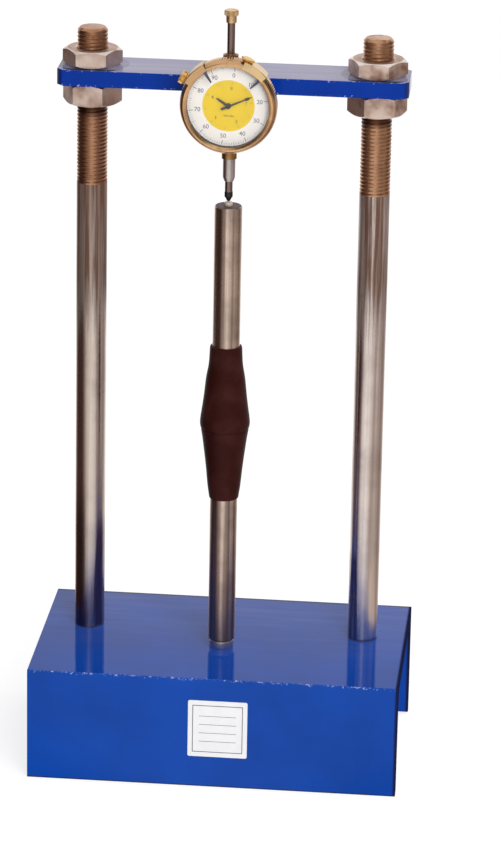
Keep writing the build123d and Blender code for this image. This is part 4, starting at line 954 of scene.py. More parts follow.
# The chrome's tarnish streaks partly stand for dark bands of reflection: painted reflection.
CHROME = Metal(
    "chromed_shaft", "pillar_chrome", (0.72, 0.62, 0.55), 0.20, spread=1.0,
    tarnish=(0.50, 0.40, 0.34), tarnishing=0.4, patch_scale=26.0, grain=Grain.DRAWN,
    grain_depth=0.10, waviness=4.0, rust=(0.17, 0.078, 0.048), stain_above=304.0, streaking=0.35,
)
# The right pillar's chrome is a lighter copy of the same chrome: painted light.
CHROME_BY_SIDE = {
    "left": replace(
        CHROME, name="chromed_shaft_left", foot_stain=0.92, foot_colour=(0.17, 0.09, 0.15),
        stain_least=0.5, dull_side=(-60.0, 0.0), dull_below=140.0,
        dull_colour=(0.12, 0.075, 0.075), axis=(-PILLAR_X, PILLAR_Y),
        foot_heights=(116.0, 92.0), foot_climb=50.0, foot_bearings=(18.0, 40.0),
    ),
    "right": replace(
        CHROME, name="chromed_shaft_right", foot_stain=0.80, foot_colour=(0.17, 0.09, 0.15),
        axis=(PILLAR_X, PILLAR_Y), foot_heights=(82.0, 70.0), foot_climb=62.0,
        foot_bearings=(-14.0, -30.0), foot_shine=0.9, streak_shift=3.0,
        colour=(0.85, 0.75, 0.70),
    ),
}
# The thread is darkened just under the lower nuts: painted shadow.
THREAD = Metal(
    "oiled_thread", "pillar_chrome", (0.60, 0.325, 0.185), 0.28, tarnish=(0.29, 0.14, 0.07),
    tarnishing=0.6, rust=(0.36, 0.155, 0.065), rusting=0.45, patch_scale=70.0,
    greased=(432.5, 438.5),
)
# The left thread is a darker copy of the same thread: painted shade.
THREAD_BY_SIDE = {
    "left": replace(THREAD, name="oiled_thread_left", colour=(0.50, 0.255, 0.145)),
    "right": replace(THREAD, name="oiled_thread_right"),
}
# The nuts' eased edges and chamfers are brightened, as rubbed metal and partly as a painted
# highlight.
NUT_PLATE = Metal(
    "plated_nut", "nut_plating", (0.82, 0.66, 0.575), 0.42, tarnish=(0.50, 0.34, 0.26),
    tarnishing=0.8, rust=(0.40, 0.19, 0.10), rusting=0.50, rust_blur=0.34, rust_detail=2.5,
    patch_scale=30.0, worn=(0.90, 0.80, 0.74), dull_top=0.80,
)
ZINC = Metal("zinc_plate", "hardware_steel", (0.55, 0.55, 0.56), 0.34, rusting=0.12)
# The bar has a stain and painted dark reflection low down, a band of painted dark reflection on
# one side, and tarnish streaks that partly stand for dark bands of reflection.
GROUND = Metal(
    "ground_bar", "ground_steel", (0.74, 0.58, 0.48), 0.27, spread=1.0,
    tarnish=(0.34, 0.25, 0.20), tarnishing=0.5, patch_scale=40.0, grain=Grain.TURNED,
    grain_depth=0.08, streaking=0.85, streak_scale=330.0, foot_stain=0.6,
    foot_colour=(0.27, 0.17, 0.14), foot_ring=(0.60, 0.49, 0.42), axis=(0.0, STEM_Y),
    dull_side=(-30.0, 6.0),
)
# The bar's top end is made dark.
BAR_END = Finish("bar_end_oiled", "ground_steel", (0.10, 0.065, 0.058), 0.5, specular=0.3)
SEAT = Metal("seat_ground", "seat_steel", (0.78, 0.68, 0.62), 0.38, grain=Grain.TURNED)
NOSE = Metal("nose_polished", "nose_steel", (0.72, 0.58, 0.50), 0.35, metallic=0.3)
GRIP = Sleeve("grip_sleeve", "grip_black", (0.028, 0.0042, 0.003), 0.42, specular=0.10)
LABEL = Finish("label_enamel", "label_white", (0.88, 0.875, 0.88), 0.4, mottling=0.04)
LABEL_INK = Finish("label_ink", "label_white", (0.10, 0.10, 0.13), 0.5)
BEZEL = Metal(
    "bezel_bronze", "bezel_gold", (0.70, 0.43, 0.22), 0.20, tarnish=(0.36, 0.18, 0.09),
    tarnishing=0.7, patch_scale=55.0,
)
CASE = Metal("case_bronze", "case_metal", BRONZE, 0.30, tarnish=(0.18, 0.08, 0.04), tarnishing=0.6)
STEM = Metal("stem_ground", "stem_steel", (0.56, 0.52, 0.51), 0.32, grain=Grain.TURNED)
BUSH = Metal("bush_turned", "stem_steel", (0.52, 0.33, 0.17), 0.30, grain=Grain.TURNED)
ROD = Metal("rod_steel", "spindle_steel", (0.24, 0.17, 0.15), 0.22, grain=Grain.TURNED)
CONTACT = Metal("contact_blackened", "contact_black", (0.035, 0.035, 0.04), 0.35)
CAP = Metal("cap_turned", "cap_brass", (0.77, 0.52, 0.27), 0.32, tarnishing=0.4)
# The two clips' straps use two copies of one brass: the lighter one on the right strap is a
# painted highlight, the darker one on the left strap painted shade.
CLIP = Metal("clip_pressed", "clip_brass", (0.82, 0.58, 0.30), 0.26, tarnishing=0.3)
CLIP_SHADED = Metal("clip_toned", "clip_brass", (0.62, 0.38, 0.19), 0.26, tarnishing=0.5)
KNOB = Metal("knob_turned", "clip_brass", (0.92, 0.56, 0.17), 0.26, tarnishing=0.2)
BLADE = Metal("blade_blued", "clip_brass", (0.12, 0.12, 0.17), 0.35, tarnish=(0.07, 0.07, 0.09))
SCREW = Metal("screw_bright", "screw_steel", (0.58, 0.58, 0.60), 0.25)
PLATE_BRASS = Metal("plate_brushed", "movement_brass", (0.72, 0.54, 0.26), 0.3, grain=Grain.MILLED)
WHEEL_BRASS = Metal("wheel_polished", "wheel_brass", (0.80, 0.60, 0.27), 0.22)
SPRING = Metal("spring_blued", "spring_steel", (0.24, 0.26, 0.34), 0.3)
ENAMEL = Finish("dial_white", "face_enamel", (0.91, 0.86, 0.80), 0.35, mottling=0.03)
YELLOW = Finish(
    "dial_yellow", "face_enamel", (0.85, 0.585, 0.003), 0.4, specular=0.2, mottling=0.05,
)
INK = Finish("dial_ink", "face_enamel", (0.20, 0.20, 0.27), 0.5)
SMALL_INK = Finish("counter_ink", "face_enamel", (0.20, 0.12, 0.008), 0.5)
HAND = Finish("hand_enamel", "hand_black", (0.034, 0.022, 0.012), 0.35)
SPACER = Finish("spacer_matt", "spacer_black", (0.02, 0.02, 0.02), 0.6)
CRYSTAL = Window("crystal_clear", "crystal", (0.70, 0.72, 0.72), 0.03)

HIDDEN_NODES: dict[str, Finish] = {
    "back_screws": SCREW, "guide_pin": SCREW, "guide_block": PLATE_BRASS,
    "spring_anchor": SCREW, "return_spring": SPRING, "main_plate": PLATE_BRASS,
    "top_plate": PLATE_BRASS, "plate_posts": PLATE_BRASS, "plate_screws": SCREW,
    "rack_pinion_arbor": SCREW, "train_wheel": WHEEL_BRASS, "counter_drive_wheel": WHEEL_BRASS,
    "centre_arbor": SCREW, "counter_wheel": WHEEL_BRASS, "take_up_arbor": SCREW,
    "take_up_wheel": WHEEL_BRASS, "hairspring": SPRING, "bezel_snap_ring": SPRING,
    "face_spacer": SPACER,
}


def linked(name: str, data: bpy.types.ID) -> bpy.types.Object:
    """New object of the scene.

    Args:
        name: Name of the object.
        data: Its mesh, curve, camera or light.

    Returns:
        The object.
    """
    item = bpy.data.objects.new(name, data)
    bpy.context.scene.collection.objects.link(item)
    return item


def evaluated_mesh(host: bpy.types.Object) -> bpy.types.Mesh:
    """Mesh that an object shows with its modifiers; the object is removed.

    Args:
        host: The object.

    Returns:
        The mesh.
    """
    depsgraph = bpy.context.evaluated_depsgraph_get()
    mesh = bpy.data.meshes.new_from_object(host.evaluated_get(depsgraph))
    bpy.data.objects.remove(host)
    return mesh


def mesh_of(name: str, shape: bmesh.types.BMesh) -> bpy.types.Mesh:
    """Mesh of a bmesh, which is freed.

    Args:
        name: Name of the mesh.
        shape: The bmesh.

    Returns:
        The mesh.
    """
    mesh = bpy.data.meshes.new(name)
    shape.to_mesh(mesh)
    shape.free()
    return mesh


def raised(corners: Sequence[Corner], height: float) -> list[Corner]:
    """The corners of an outline, moved up."""
    return [(radius, height + z, easing) for radius, z, easing in corners]


def rounded(corners: Sequence[Corner], steps: int = 4) -> list[Point]:
    """Outline whose corners are eased.

    Args:
        corners: (radius, height, easing) points; an easing of 0 keeps the corner sharp.
        steps: Number of short edges at each eased corner.

    Returns:
        The (radius, height) points.
    """
    points: list[Point] = []
    last = len(corners) - 1
    for index, (x, y, ease) in enumerate(corners):
        if ease <= 0.0 or index in (0, last):
            points.append((x, y))
            continue
        here = Vector((x, y))
        before, after = (Vector(corners[other][:2]) - here for other in (index - 1, index + 1))
        start, end = (
            here + way.normalized() * min(ease, way.length * EASING_LIMIT)
            for way in (before, after)
        )
        for step in range(steps + 1):
            t = step / steps
            spot = start * (1 - t) ** 2 + here * 2 * t * (1 - t) + end * t**2
            points.append((spot.x, spot.y))
    return points


def finished_mesh(
    name: str, shape: bmesh.types.BMesh, place: Matrix, crease: float
) -> bpy.types.Mesh:
    """Turn a bmesh into a placed mesh with outward normals and smooth shading.

    Args:
        name: Name of the mesh.
        shape: The shape in local millimetres, which is freed.
        place: Matrix to the row frame.
        crease: Angle in degrees past which an edge stays sharp.

    Returns:
        The mesh.
    """
    bmesh.ops.remove_doubles(shape, verts=shape.verts, dist=WELD_MM)
    bmesh.ops.dissolve_degenerate(shape, edges=shape.edges, dist=WELD_MM)
    bmesh.ops.recalc_face_normals(shape, faces=shape.faces)
    mesh = mesh_of(name, shape)
    mesh.transform(place)
    smooth(mesh, crease)
    return mesh


def smooth(mesh: bpy.types.Mesh, crease: float) -> None:
    """Shade a mesh smooth, with edges sharper than the crease angle kept."""
    mesh.polygons.foreach_set("use_smooth", [True] * len(mesh.polygons))
    mesh.set_sharp_from_angle(angle=math.radians(crease))


def turned(
    name: str, outline: Sequence[Point], place: Matrix, segments: int = 96,
    crease: float = SMOOTH_CREASE,
) -> bpy.types.Mesh:
    """Mesh turned about local z.

    Args:
        name: Name of the mesh.
        outline: (radius, height) points; it is closed to its start, and a radius of 0 is a pole.
        place: Matrix to the row frame.
        segments: Number of steps round the axis.
        crease: Angle in degrees past which an edge stays sharp.

    Returns:
        The mesh.
    """
    shape = bmesh.new()
    rings: list[list[bmesh.types.BMVert]] = []
    for radius, height in outline:
        if radius <= 0.0:
            rings.append([shape.verts.new((0.0, 0.0, height))])
            continue
        ring = []
        for step in range(segments):
            angle = 2 * math.pi * step / segments
            x, y = radius * math.cos(angle), radius * math.sin(angle)
            ring.append(shape.verts.new((x, y, height)))
        rings.append(ring)
    for index, ring in enumerate(rings):
        other = rings[(index + 1) % len(rings)]
        for step in range(segments):
            after = (step + 1) % segments
            corners = [ring[step % len(ring)], ring[after % len(ring)],
                       other[after % len(other)], other[step % len(other)]]
            kept = list(dict.fromkeys(corners))
            if len(kept) > 2:
                shape.faces.new(kept)
    return finished_mesh(name, shape, place, crease)


def stacked(
    name: str, rings: list[list[bmesh.types.BMVert]], shape: bmesh.types.BMesh, place: Matrix
) -> bpy.types.Mesh:
    """Mesh of rings of equal length, each joined to the next, with both ends closed.

    Args:
        name: Name of the mesh.
        rings: The rings' vertices in order.
        shape: The shape that holds them, which is freed.
        place: Matrix to the row frame.

    Returns:
        The mesh.
    """
    shape.faces.new(rings[0][::-1])
    shape.faces.new(rings[-1])
    for first, second in zip(rings, rings[1:]):
        for index in range(len(first)):
            after = (index + 1) % len(first)
            shape.faces.new((first[index], first[after], second[after], second[index]))
    return finished_mesh(name, shape, place, FLAT_CREASE)


def flat_shape(
    name: str, outline: Sequence[Point], bottom: float, top: float, place: Matrix
) -> bpy.types.Mesh:
    """Mesh of a flat outline in local x and y, raised between two heights.

    Args:
        name: Name of the mesh.
        outline: Its points in local millimetres.
        bottom: Height of its back.
        top: Height of its front.
        place: Matrix to the row frame.

    Returns:
        The mesh.
    """
    shape = bmesh.new()
    rings = [[shape.verts.new((x, y, z)) for x, y in outline] for z in (bottom, top)]
    return stacked(name, rings, shape, place)


def joined(name: str, meshes: list[bpy.types.Mesh]) -> bpy.types.Mesh:
    """One mesh of several, without their materials.

    Args:
        name: Name of the mesh.
        meshes: The meshes, which are removed.

    Returns:
        The mesh.
    """
    shape = bmesh.new()
    for mesh in meshes:
        shape.from_mesh(mesh)
    whole = mesh_of(name, shape)
    smooth(whole, SMOOTH_CREASE)
    for mesh in meshes:
        bpy.data.meshes.remove(mesh)
    return whole


def place_piece(
    name: str, mesh: bpy.types.Mesh, body: Body, finish: Finish, stands_for: tuple[str, ...] = ()
) -> None:
    """Add a piece to the scene with its finish, on the body that it rides on.

    Args:
        name: Name of the piece.
        mesh: Its mesh, in the row frame.
        body: The body that it moves with.
        finish: Its finish.
        stands_for: Nodes of the frame that it is shown in place of.
    """
    piece = linked(name, mesh)
    mesh.materials.clear()
    mesh.materials.append(finish.material())
    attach(piece, body.value)
    if stands_for:
        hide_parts(*stands_for)
    LOG.info("piece %s: %d faces on %s", name, len(mesh.polygons), body.value)


def turned_piece(
    name: str, corners: Sequence[Corner], place: Matrix, body: Body, finish: Finish,
    stands_for: tuple[str, ...] = (), segments: int = 96,
) -> None:
    """Add a piece turned about local z from corners such as rounded takes."""
    mesh = turned(name, rounded(corners), place, segments)
    place_piece(name, mesh, body, finish, stands_for)


def eased_copy(
    node: str, body: Body, finish: Finish, edge: float, angle: float = 35.0
) -> None:
    """Add a copy of a node of the frame with joined faces and eased sharp edges.

    Args:
        node: The node that the copy stands for.
        body: The body that it moves with.
        finish: Its finish.
        edge: Width of the eased edges in millimetres.
        angle: Angle in degrees past which an edge is eased.
    """
    shape = bmesh.new()
    shape.from_mesh(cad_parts[node].data)
    bmesh.ops.remove_doubles(shape, verts=shape.verts, dist=NODE_WELD)
    bmesh.ops.dissolve_limit(
        shape, angle_limit=math.radians(FLAT_WITHIN), verts=shape.verts, edges=shape.edges
    )
    name = node + "_eased"
    mesh = mesh_of(name, shape)
    smooth(mesh, angle)
    mesh.materials.clear()
    for _ in range(2):
        mesh.materials.append(finish.material())
    mesh.polygons.foreach_set("material_index", [0] * len(mesh.polygons))
    helper = linked("helper", mesh)
    bevel = helper.modifiers.new("edges", "BEVEL")
    bevel.width = edge * MM
    bevel.segments = 2
    bevel.limit_method = "ANGLE"
    bevel.angle_limit = math.radians(angle)
    bevel.use_clamp_overlap = True
    bevel.material = 1
    weighted = helper.modifiers.new("normals", "WEIGHTED_NORMAL")
    weighted.keep_sharp = True
    result = evaluated_mesh(helper)
    mark_worn_faces(result)
    place_piece(name, result, body, finish, (node,))


def mark_worn_faces(mesh: bpy.types.Mesh) -> None:
    """Store 1 on eased edges and on sloping chamfers, and 0 elsewhere, as the attribute
    worn, which a finish brightens as rubbed metal and partly as a painted highlight.

    Args:
        mesh: Mesh whose eased faces have the second material.
    """
    worn = mesh.attributes.new("worn", "FLOAT", "FACE")
    for face in mesh.polygons:
        sloping = SLOPING[0] < abs(face.normal.z) < SLOPING[1]
        worn.data[face.index].value = 1.0 if face.material_index == 1 or sloping else 0.0
        face.material_index = 0


class ShapeTree:
    """A Geometry Nodes tree with named inputs, run on an empty mesh to give a plain mesh."""

    def __init__(self, name: str, inputs: dict[str, str]) -> None:
        """Make the tree's group with its inputs.

        Args:
            name: Name of the tree.
            inputs: Socket type by input name.
        """
        self.group = bpy.data.node_groups.new(name, "GeometryNodeTree")
        face = self.group.interface
        face.new_socket("Geometry", in_out="OUTPUT", socket_type="NodeSocketGeometry")
        self.keys: dict[str, str] = {}
        for label, kind in inputs.items():
            socket = face.new_socket(label, in_out="INPUT", socket_type=kind)
            self.keys[label] = socket.identifier
        self.graph = Graph(self.group)
        self.given = self.graph.add("NodeGroupInput")
        self.result = self.graph.add("NodeGroupOutput")
        self.build()

    def build(self) -> None:
        """Add the tree's nodes; each tree has its own."""
        raise NotImplementedError

    def value(self, label: str) -> Socket:
        """Socket of a named input inside the tree."""
        return self.given.outputs[label]

    def moved(self, geometry: Socket, angle: Socket, radius: Socket, height: Socket) -> Socket:
        """Geometry with its points set round local z.

        Args:
            geometry: The geometry.
            angle: Angle of each point in radians.
            radius: Its distance from local z.
            height: Its height.

        Returns:
            The moved geometry's socket.
        """
        graph = self.graph
        x, y = (graph.times(graph.math(turn, angle), radius) for turn in ("COSINE", "SINE"))
        node = graph.add("GeometryNodeSetPosition")
        graph.feed(node.inputs["Geometry"], geometry)
        graph.feed(node.inputs["Position"], graph.join(x, y, height))
        return node.outputs[0]

    def close(self, geometry: Socket) -> None:
        """End the tree in Realize Instances and Set Material.

        Args:
            geometry: What the tree gives.
        """
        solid = self.graph.add("GeometryNodeRealizeInstances")
        self.graph.feed(solid.inputs[0], geometry)
        painted = self.graph.add("GeometryNodeSetMaterial")
        self.graph.feed(painted.inputs["Geometry"], solid.outputs[0])
        self.graph.feed(painted.inputs["Material"], self.value("Material"))
        self.graph.feed(self.result.inputs[0], painted.outputs[0])

    def run(self, name: str, place: Matrix, finish: Finish, **values: object) -> bpy.types.Mesh:
        """Run the tree and turn its result into a placed mesh.

        Args:
            name: Name of the mesh.
            place: Matrix to the row frame.
            finish: Finish that the tree sets.
            values: Values of the named inputs, with _ for a space.

        Returns:
            The mesh.
        """
        host = linked(name + "_host", bpy.data.meshes.new(name + "_host"))
        modifier = host.modifiers.new("shape", "NODES")
        modifier.node_group = self.group
        modifier[self.keys["Material"]] = finish.material()
        for label, value in values.items():
            modifier[self.keys[label.replace("_", " ")]] = value
        raw = evaluated_mesh(host)
        shape = bmesh.new()
        shape.from_mesh(raw)
        bpy.data.meshes.remove(raw)
        return finished_mesh(name, shape, place, SMOOTH_CREASE)


class RingTree(ShapeTree):
    """Copies of one item in a ring about local z, each turned to face outwards."""

    def __init__(self) -> None:
        """Name the inputs."""
        super().__init__("ring_of_items", {
            "Item": "NodeSocketObject", "Count": "NodeSocketInt", "Radius": "NodeSocketFloat",
            "Start": "NodeSocketFloat", "Step": "NodeSocketFloat", "Height": "NodeSocketFloat",
            "Material": "NodeSocketMaterial",
        })

    def build(self) -> None:
        """Set points round the ring and put the item on each."""
        graph = self.graph
        points = graph.add("GeometryNodePoints")
        graph.feed(points.inputs["Count"], self.value("Count"))
        index = graph.add("GeometryNodeInputIndex").outputs[0]
        degrees = graph.math("MULTIPLY_ADD", index, self.value("Step"), self.value("Start"))
        angle = graph.math("RADIANS", degrees)
        moved = self.moved(points.outputs[0], angle, self.value("Radius"), self.value("Height"))
        item = graph.add("GeometryNodeObjectInfo", transform_space="ORIGINAL")
        graph.feed(item.inputs["Object"], self.value("Item"))
        copies = graph.add("GeometryNodeInstanceOnPoints")
        graph.feed(copies.inputs["Points"], moved)
        graph.feed(copies.inputs["Instance"], item.outputs["Geometry"])
        turn = graph.add("FunctionNodeEulerToRotation")
        graph.feed(turn.inputs[0], graph.join(0.0, 0.0, angle))
        graph.feed(copies.inputs["Rotation"], turn.outputs[0])
        self.close(copies.outputs[0])

    def ring(
        self, name: str, item: bpy.types.Mesh, count: int, radius: float, start: float,
        height: float, place: Matrix, finish: Finish,
    ) -> bpy.types.Mesh:
        """Mesh of a ring of items.

        Args:
            name: Name of the mesh.
            item: One item in local millimetres, with x outwards.
            count: Number of items.
            radius: Radius at which the items' origins lie.
            start: Angle of the first in degrees.
            height: Their height on local z.
            place: Matrix to the row frame.
            finish: Finish of the items.

        Returns:
            The mesh.
        """
        holder = linked(name + "_item", item)
        mesh = self.run(
            name, place, finish, Item=holder, Count=count, Radius=radius, Start=start,
            Step=360.0 / count, Height=height,
        )
        bpy.data.objects.remove(holder)
        bpy.data.meshes.remove(item)
        return mesh


class ThreadTree(ShapeTree):
    """Screw thread: a grid wound round local z, whose radius follows the helix."""

    SEGMENTS = 64
    ROWS_PER_PITCH = 8
    ROOT_SHARE = 0.2
    FLANK_SHARE = 0.62
    LEAST_FADE = 0.0001

    def __init__(self) -> None:
        """Name the inputs."""
        sizes = ("Radius", "Depth", "Pitch", "Bottom", "Top", "Fade Bottom", "Fade Top",
                 "Chamfer Bottom", "Chamfer Top")
        inputs = {label: "NodeSocketFloat" for label in sizes}
        super().__init__("screw_thread", {**inputs, "Material": "NodeSocketMaterial"})

    def build(self) -> None:
        """Wind a grid into the thread."""
        graph = self.graph
        pitch, bottom, top = self.value("Pitch"), self.value("Bottom"), self.value("Top")
        span = graph.math("MULTIPLY_ADD", pitch, 2.0, graph.math("SUBTRACT", top, bottom))
        row = graph.math("DIVIDE", pitch, float(self.ROWS_PER_PITCH))
        rows = graph.math("CEIL", graph.math("DIVIDE", span, row))
        grid = graph.add("GeometryNodeMeshGrid")
        graph.feed(grid.inputs["Size X"], 2 * math.pi)
        graph.feed(grid.inputs["Size Y"], graph.times(rows, row))
        graph.feed(grid.inputs["Vertices X"], self.SEGMENTS + 1)
        graph.feed(grid.inputs["Vertices Y"], graph.math("ADD", rows, 1.0))
        angle, along, _ = graph.split(graph.add("GeometryNodeInputPosition").outputs[0])
        line = graph.math("ADD", along, graph.times(graph.math("ADD", top, bottom), 0.5))
        lead = graph.math("DIVIDE", pitch, 2 * math.pi)
        wound = graph.math("MULTIPLY_ADD", angle, lead, line)
        height = graph.math("MINIMUM", graph.math("MAXIMUM", wound, bottom), top)
        phase = graph.math("FRACT", graph.math("DIVIDE", line, pitch))
        off = graph.times(graph.math("ABSOLUTE", graph.math("SUBTRACT", phase, 0.5)), 2.0)
        flank = graph.math("SUBTRACT", off, self.ROOT_SHARE)
        crest = graph.math("DIVIDE", flank, self.FLANK_SHARE, clamp=True)
        cut = graph.times(graph.math("SUBTRACT", 1.0, crest), self.value("Depth"))
        ends = {"Bottom": graph.math("SUBTRACT", height, bottom),
                "Top": graph.math("SUBTRACT", top, height)}
        for end, distance in ends.items():
            length = graph.math("MAXIMUM", self.value(f"Fade {end}"), self.LEAST_FADE)
            cut = graph.times(cut, graph.math("DIVIDE", distance, length, clamp=True))
        radius = graph.math("SUBTRACT", self.value("Radius"), cut)
        for end, distance in ends.items():
            inset = graph.math("SUBTRACT", self.value("Radius"), self.value(f"Chamfer {end}"))
            radius = graph.math("MINIMUM", radius, graph.math("ADD", inset, distance))
        self.close(self.moved(grid.outputs["Mesh"], angle, radius, height))


def block(size: Corner, turn: float = 0.0) -> bpy.types.Mesh:
    """Box about the origin in local millimetres, turned about local z by an angle in degrees.

    Args:
        size: Lengths along local x, y and z.
        turn: Angle in degrees.

    Returns:
        The mesh.
    """
    shape = bmesh.new()
    bmesh.ops.create_cube(shape, size=1.0)
    bmesh.ops.scale(shape, vec=size, verts=shape.verts)
    bmesh.ops.rotate(shape, verts=shape.verts, matrix=Matrix.Rotation(math.radians(turn), 3, "Z"))
    return mesh_of("block", shape)


@dataclass
class Makers:
    """The shape trees that several sub-assemblies share."""

    rings: RingTree = field(default_factory=RingTree)
    threads: ThreadTree = field(default_factory=ThreadTree)


@dataclass
class BaseChannel:
    """Inverted channel with its label plate, anvil seat and the nuts under its web."""

    label_x: float = 4.2
    label_z: float = 41.7
    label_front: float = 75.4
    frame_size: float = 33.0
    frame_line: float = 0.5
    rules: int = 4
    rule_gap: float = 6.0
    rule_length: float = 24.75
    rule_line: float = 0.3
    ink_back: float = -0.02
    ink_front: float = 0.03
    seat: Outline = (
        (0.0, 54.0, 0.0), (4.0, 54.0, 0.8), (4.0, 77.0, 0.0), (8.1, 77.0, 0.2),
        (8.1, 81.6, 0.5), (7.4, 82.48, 0.4), (0.0, 82.48, 0.0),
    )

    def build(self) -> None:
        """Make the base's pieces."""
        eased_copy("base_channel", Body.STAND, BASE_PAINT, edge=0.35, angle=50.0)
        eased_copy("label_plate", Body.STAND, LABEL, edge=0.1)
        for node in ("foot_washers", "foot_nuts", "anvil_washer", "anvil_nut"):
            eased_copy(node, Body.STAND, ZINC, edge=0.2)
        self.print_label()
        turned_piece("anvil_seat_turned", self.seat, upright(0.0, STEM_Y), Body.STAND, SEAT,
                     ("anvil_seat",), segments=64)

    def print_label(self) -> None:
        """Print a plain ruled frame on the label plate."""
        half, line = self.frame_size / 2, self.frame_line
        bars = [(0.0, half, 2 * half + line, line), (0.0, -half, 2 * half + line, line),
                (half, 0.0, line, 2 * half), (-half, 0.0, line, 2 * half)]
        for rule in range(self.rules):
            height = (rule - (self.rules - 1) / 2) * self.rule_gap
            bars.append((0.0, height, self.rule_length, self.rule_line))
        where = Vector((self.label_x, -self.label_front, self.label_z)) * MM
        place = Matrix.Translation(where) @ FACING_READER @ Matrix.Scale(MM, 4)
        meshes = []
        for index, (x, y, wide, high) in enumerate(bars):
            left, right, low, top = x - wide / 2, x + wide / 2, y - high / 2, y + high / 2
            outline = [(left, low), (right, low), (right, top), (left, top)]
            meshes.append(
                flat_shape(f"bar_{index}", outline, self.ink_back, self.ink_front, place))
        place_piece("label_print", joined("label_print", meshes), Body.STAND, LABEL_INK)


@dataclass
class Pillar:
    """Chromed pillar with a cut thread at the top and a threaded spigot below."""

    side: str
    x: float
    makers: Makers
    radius: float = 10.0
    foot: float = 77.0
    thread_start: float = 388.65
    top: float = 492.65
    end_chamfer: float = 1.8
    end_depth: float = 1.0
    web_bottom: float = 71.0
    thread_depth: float = 0.48
    pitch: float = 2.5
    thread_fade: float = 3.0
    foot_edge: float = 0.4
    end_edge: float = 0.25
    spigot: float = 8.0
    spigot_end: float = 45.0
    spigot_chamfer: float = 1.3
    spigot_depth: float = 1.1
    spigot_pitch: float = 2.0
    spigot_fade: float = 2.0

    def build(self) -> None:
        """Make the shaft, the thread and the spigot's thread."""
        name, place = f"pillar_{self.side}", upright(self.x, PILLAR_Y)
        turned_piece(f"{name}_shaft", [
            (0.0, self.web_bottom, 0.0), (self.spigot, self.web_bottom, 0.0),
            (self.spigot, self.foot, 0.0), (self.radius, self.foot, self.foot_edge),
            (self.radius, self.thread_start, 0.0), (0.0, self.thread_start, 0.0),
        ], place, Body.STAND, CHROME_BY_SIDE[self.side], (name,))
        neck, low = self.radius - self.end_chamfer, self.top - self.end_depth
        self.threaded(
            f"{name}_thread", place, THREAD_BY_SIDE[self.side],
            [(0.0, low, 0.0), (neck, low, 0.0), (neck, self.top, self.end_edge),
             (0.0, self.top, 0.0)],
            Radius=self.radius, Depth=self.thread_depth, Pitch=self.pitch,
            Bottom=self.thread_start, Top=self.top, Fade_Bottom=self.thread_fade, Fade_Top=0.0,
            Chamfer_Bottom=0.0, Chamfer_Top=self.end_chamfer,
        )
        neck, low = self.spigot - self.spigot_chamfer, self.spigot_end
        high = low + self.end_depth
        self.threaded(
            f"{name}_spigot", place, ZINC,
            [(0.0, low, 0.0), (neck, low, 0.0), (neck, high, 0.0), (0.0, high, 0.0)],
            Radius=self.spigot, Depth=self.spigot_depth, Pitch=self.spigot_pitch, Bottom=low,
            Top=self.web_bottom, Fade_Bottom=0.0, Fade_Top=self.spigot_fade,
            Chamfer_Bottom=self.spigot_chamfer, Chamfer_Top=0.0,
        )

    def threaded(
        self, name: str, place: Matrix, finish: Finish, end: Sequence[Corner], **sizes: float
    ) -> None:
        """Add a threaded piece.

        Args:
            name: Name of the thread's mesh.
            place: Matrix to the row frame.
            finish: Its finish.
            end: Corners of the flat end that closes it.
            sizes: Sizes of the thread by input name, with _ for a space.
        """
        thread = self.makers.threads.run(name, place, finish, **sizes)
        whole = joined(thread.name, [thread, turned("end", rounded(end), place, segments=64)])
        place_piece(whole.name, whole, Body.STAND, finish)


@dataclass
class CrossbarUnit:
    """Crossbar with its clamping nuts and the screw that carries the dial gauge.

    Each nut has a node, a body and how rusty it is.
    """

    nuts: tuple[tuple[str, Body, float], ...] = (
        ("upper_nut_left", Body.NUT_UPPER_LEFT, 0.50),
        ("upper_nut_right", Body.NUT_UPPER_RIGHT, 0.66),
        ("lower_nut_left", Body.NUT_LOWER_LEFT, 0.52),
        ("lower_nut_right", Body.NUT_LOWER_RIGHT, 0.76),
    )

    def build(self) -> None:
        """Make the bar, the nuts and the lug's screw."""
        eased_copy("crossbar", Body.CROSSBAR, BAR_PAINT, edge=0.3, angle=50.0)
        for node, body, rusting in self.nuts:
            finish = replace(NUT_PLATE, name=f"plated_{node}", rusting=rusting)
            eased_copy(node, body, finish, edge=0.35, angle=22.0)
        for node in ("lug_screw", "lug_nut"):
            eased_copy(node, Body.CROSSBAR, ZINC, edge=0.2)


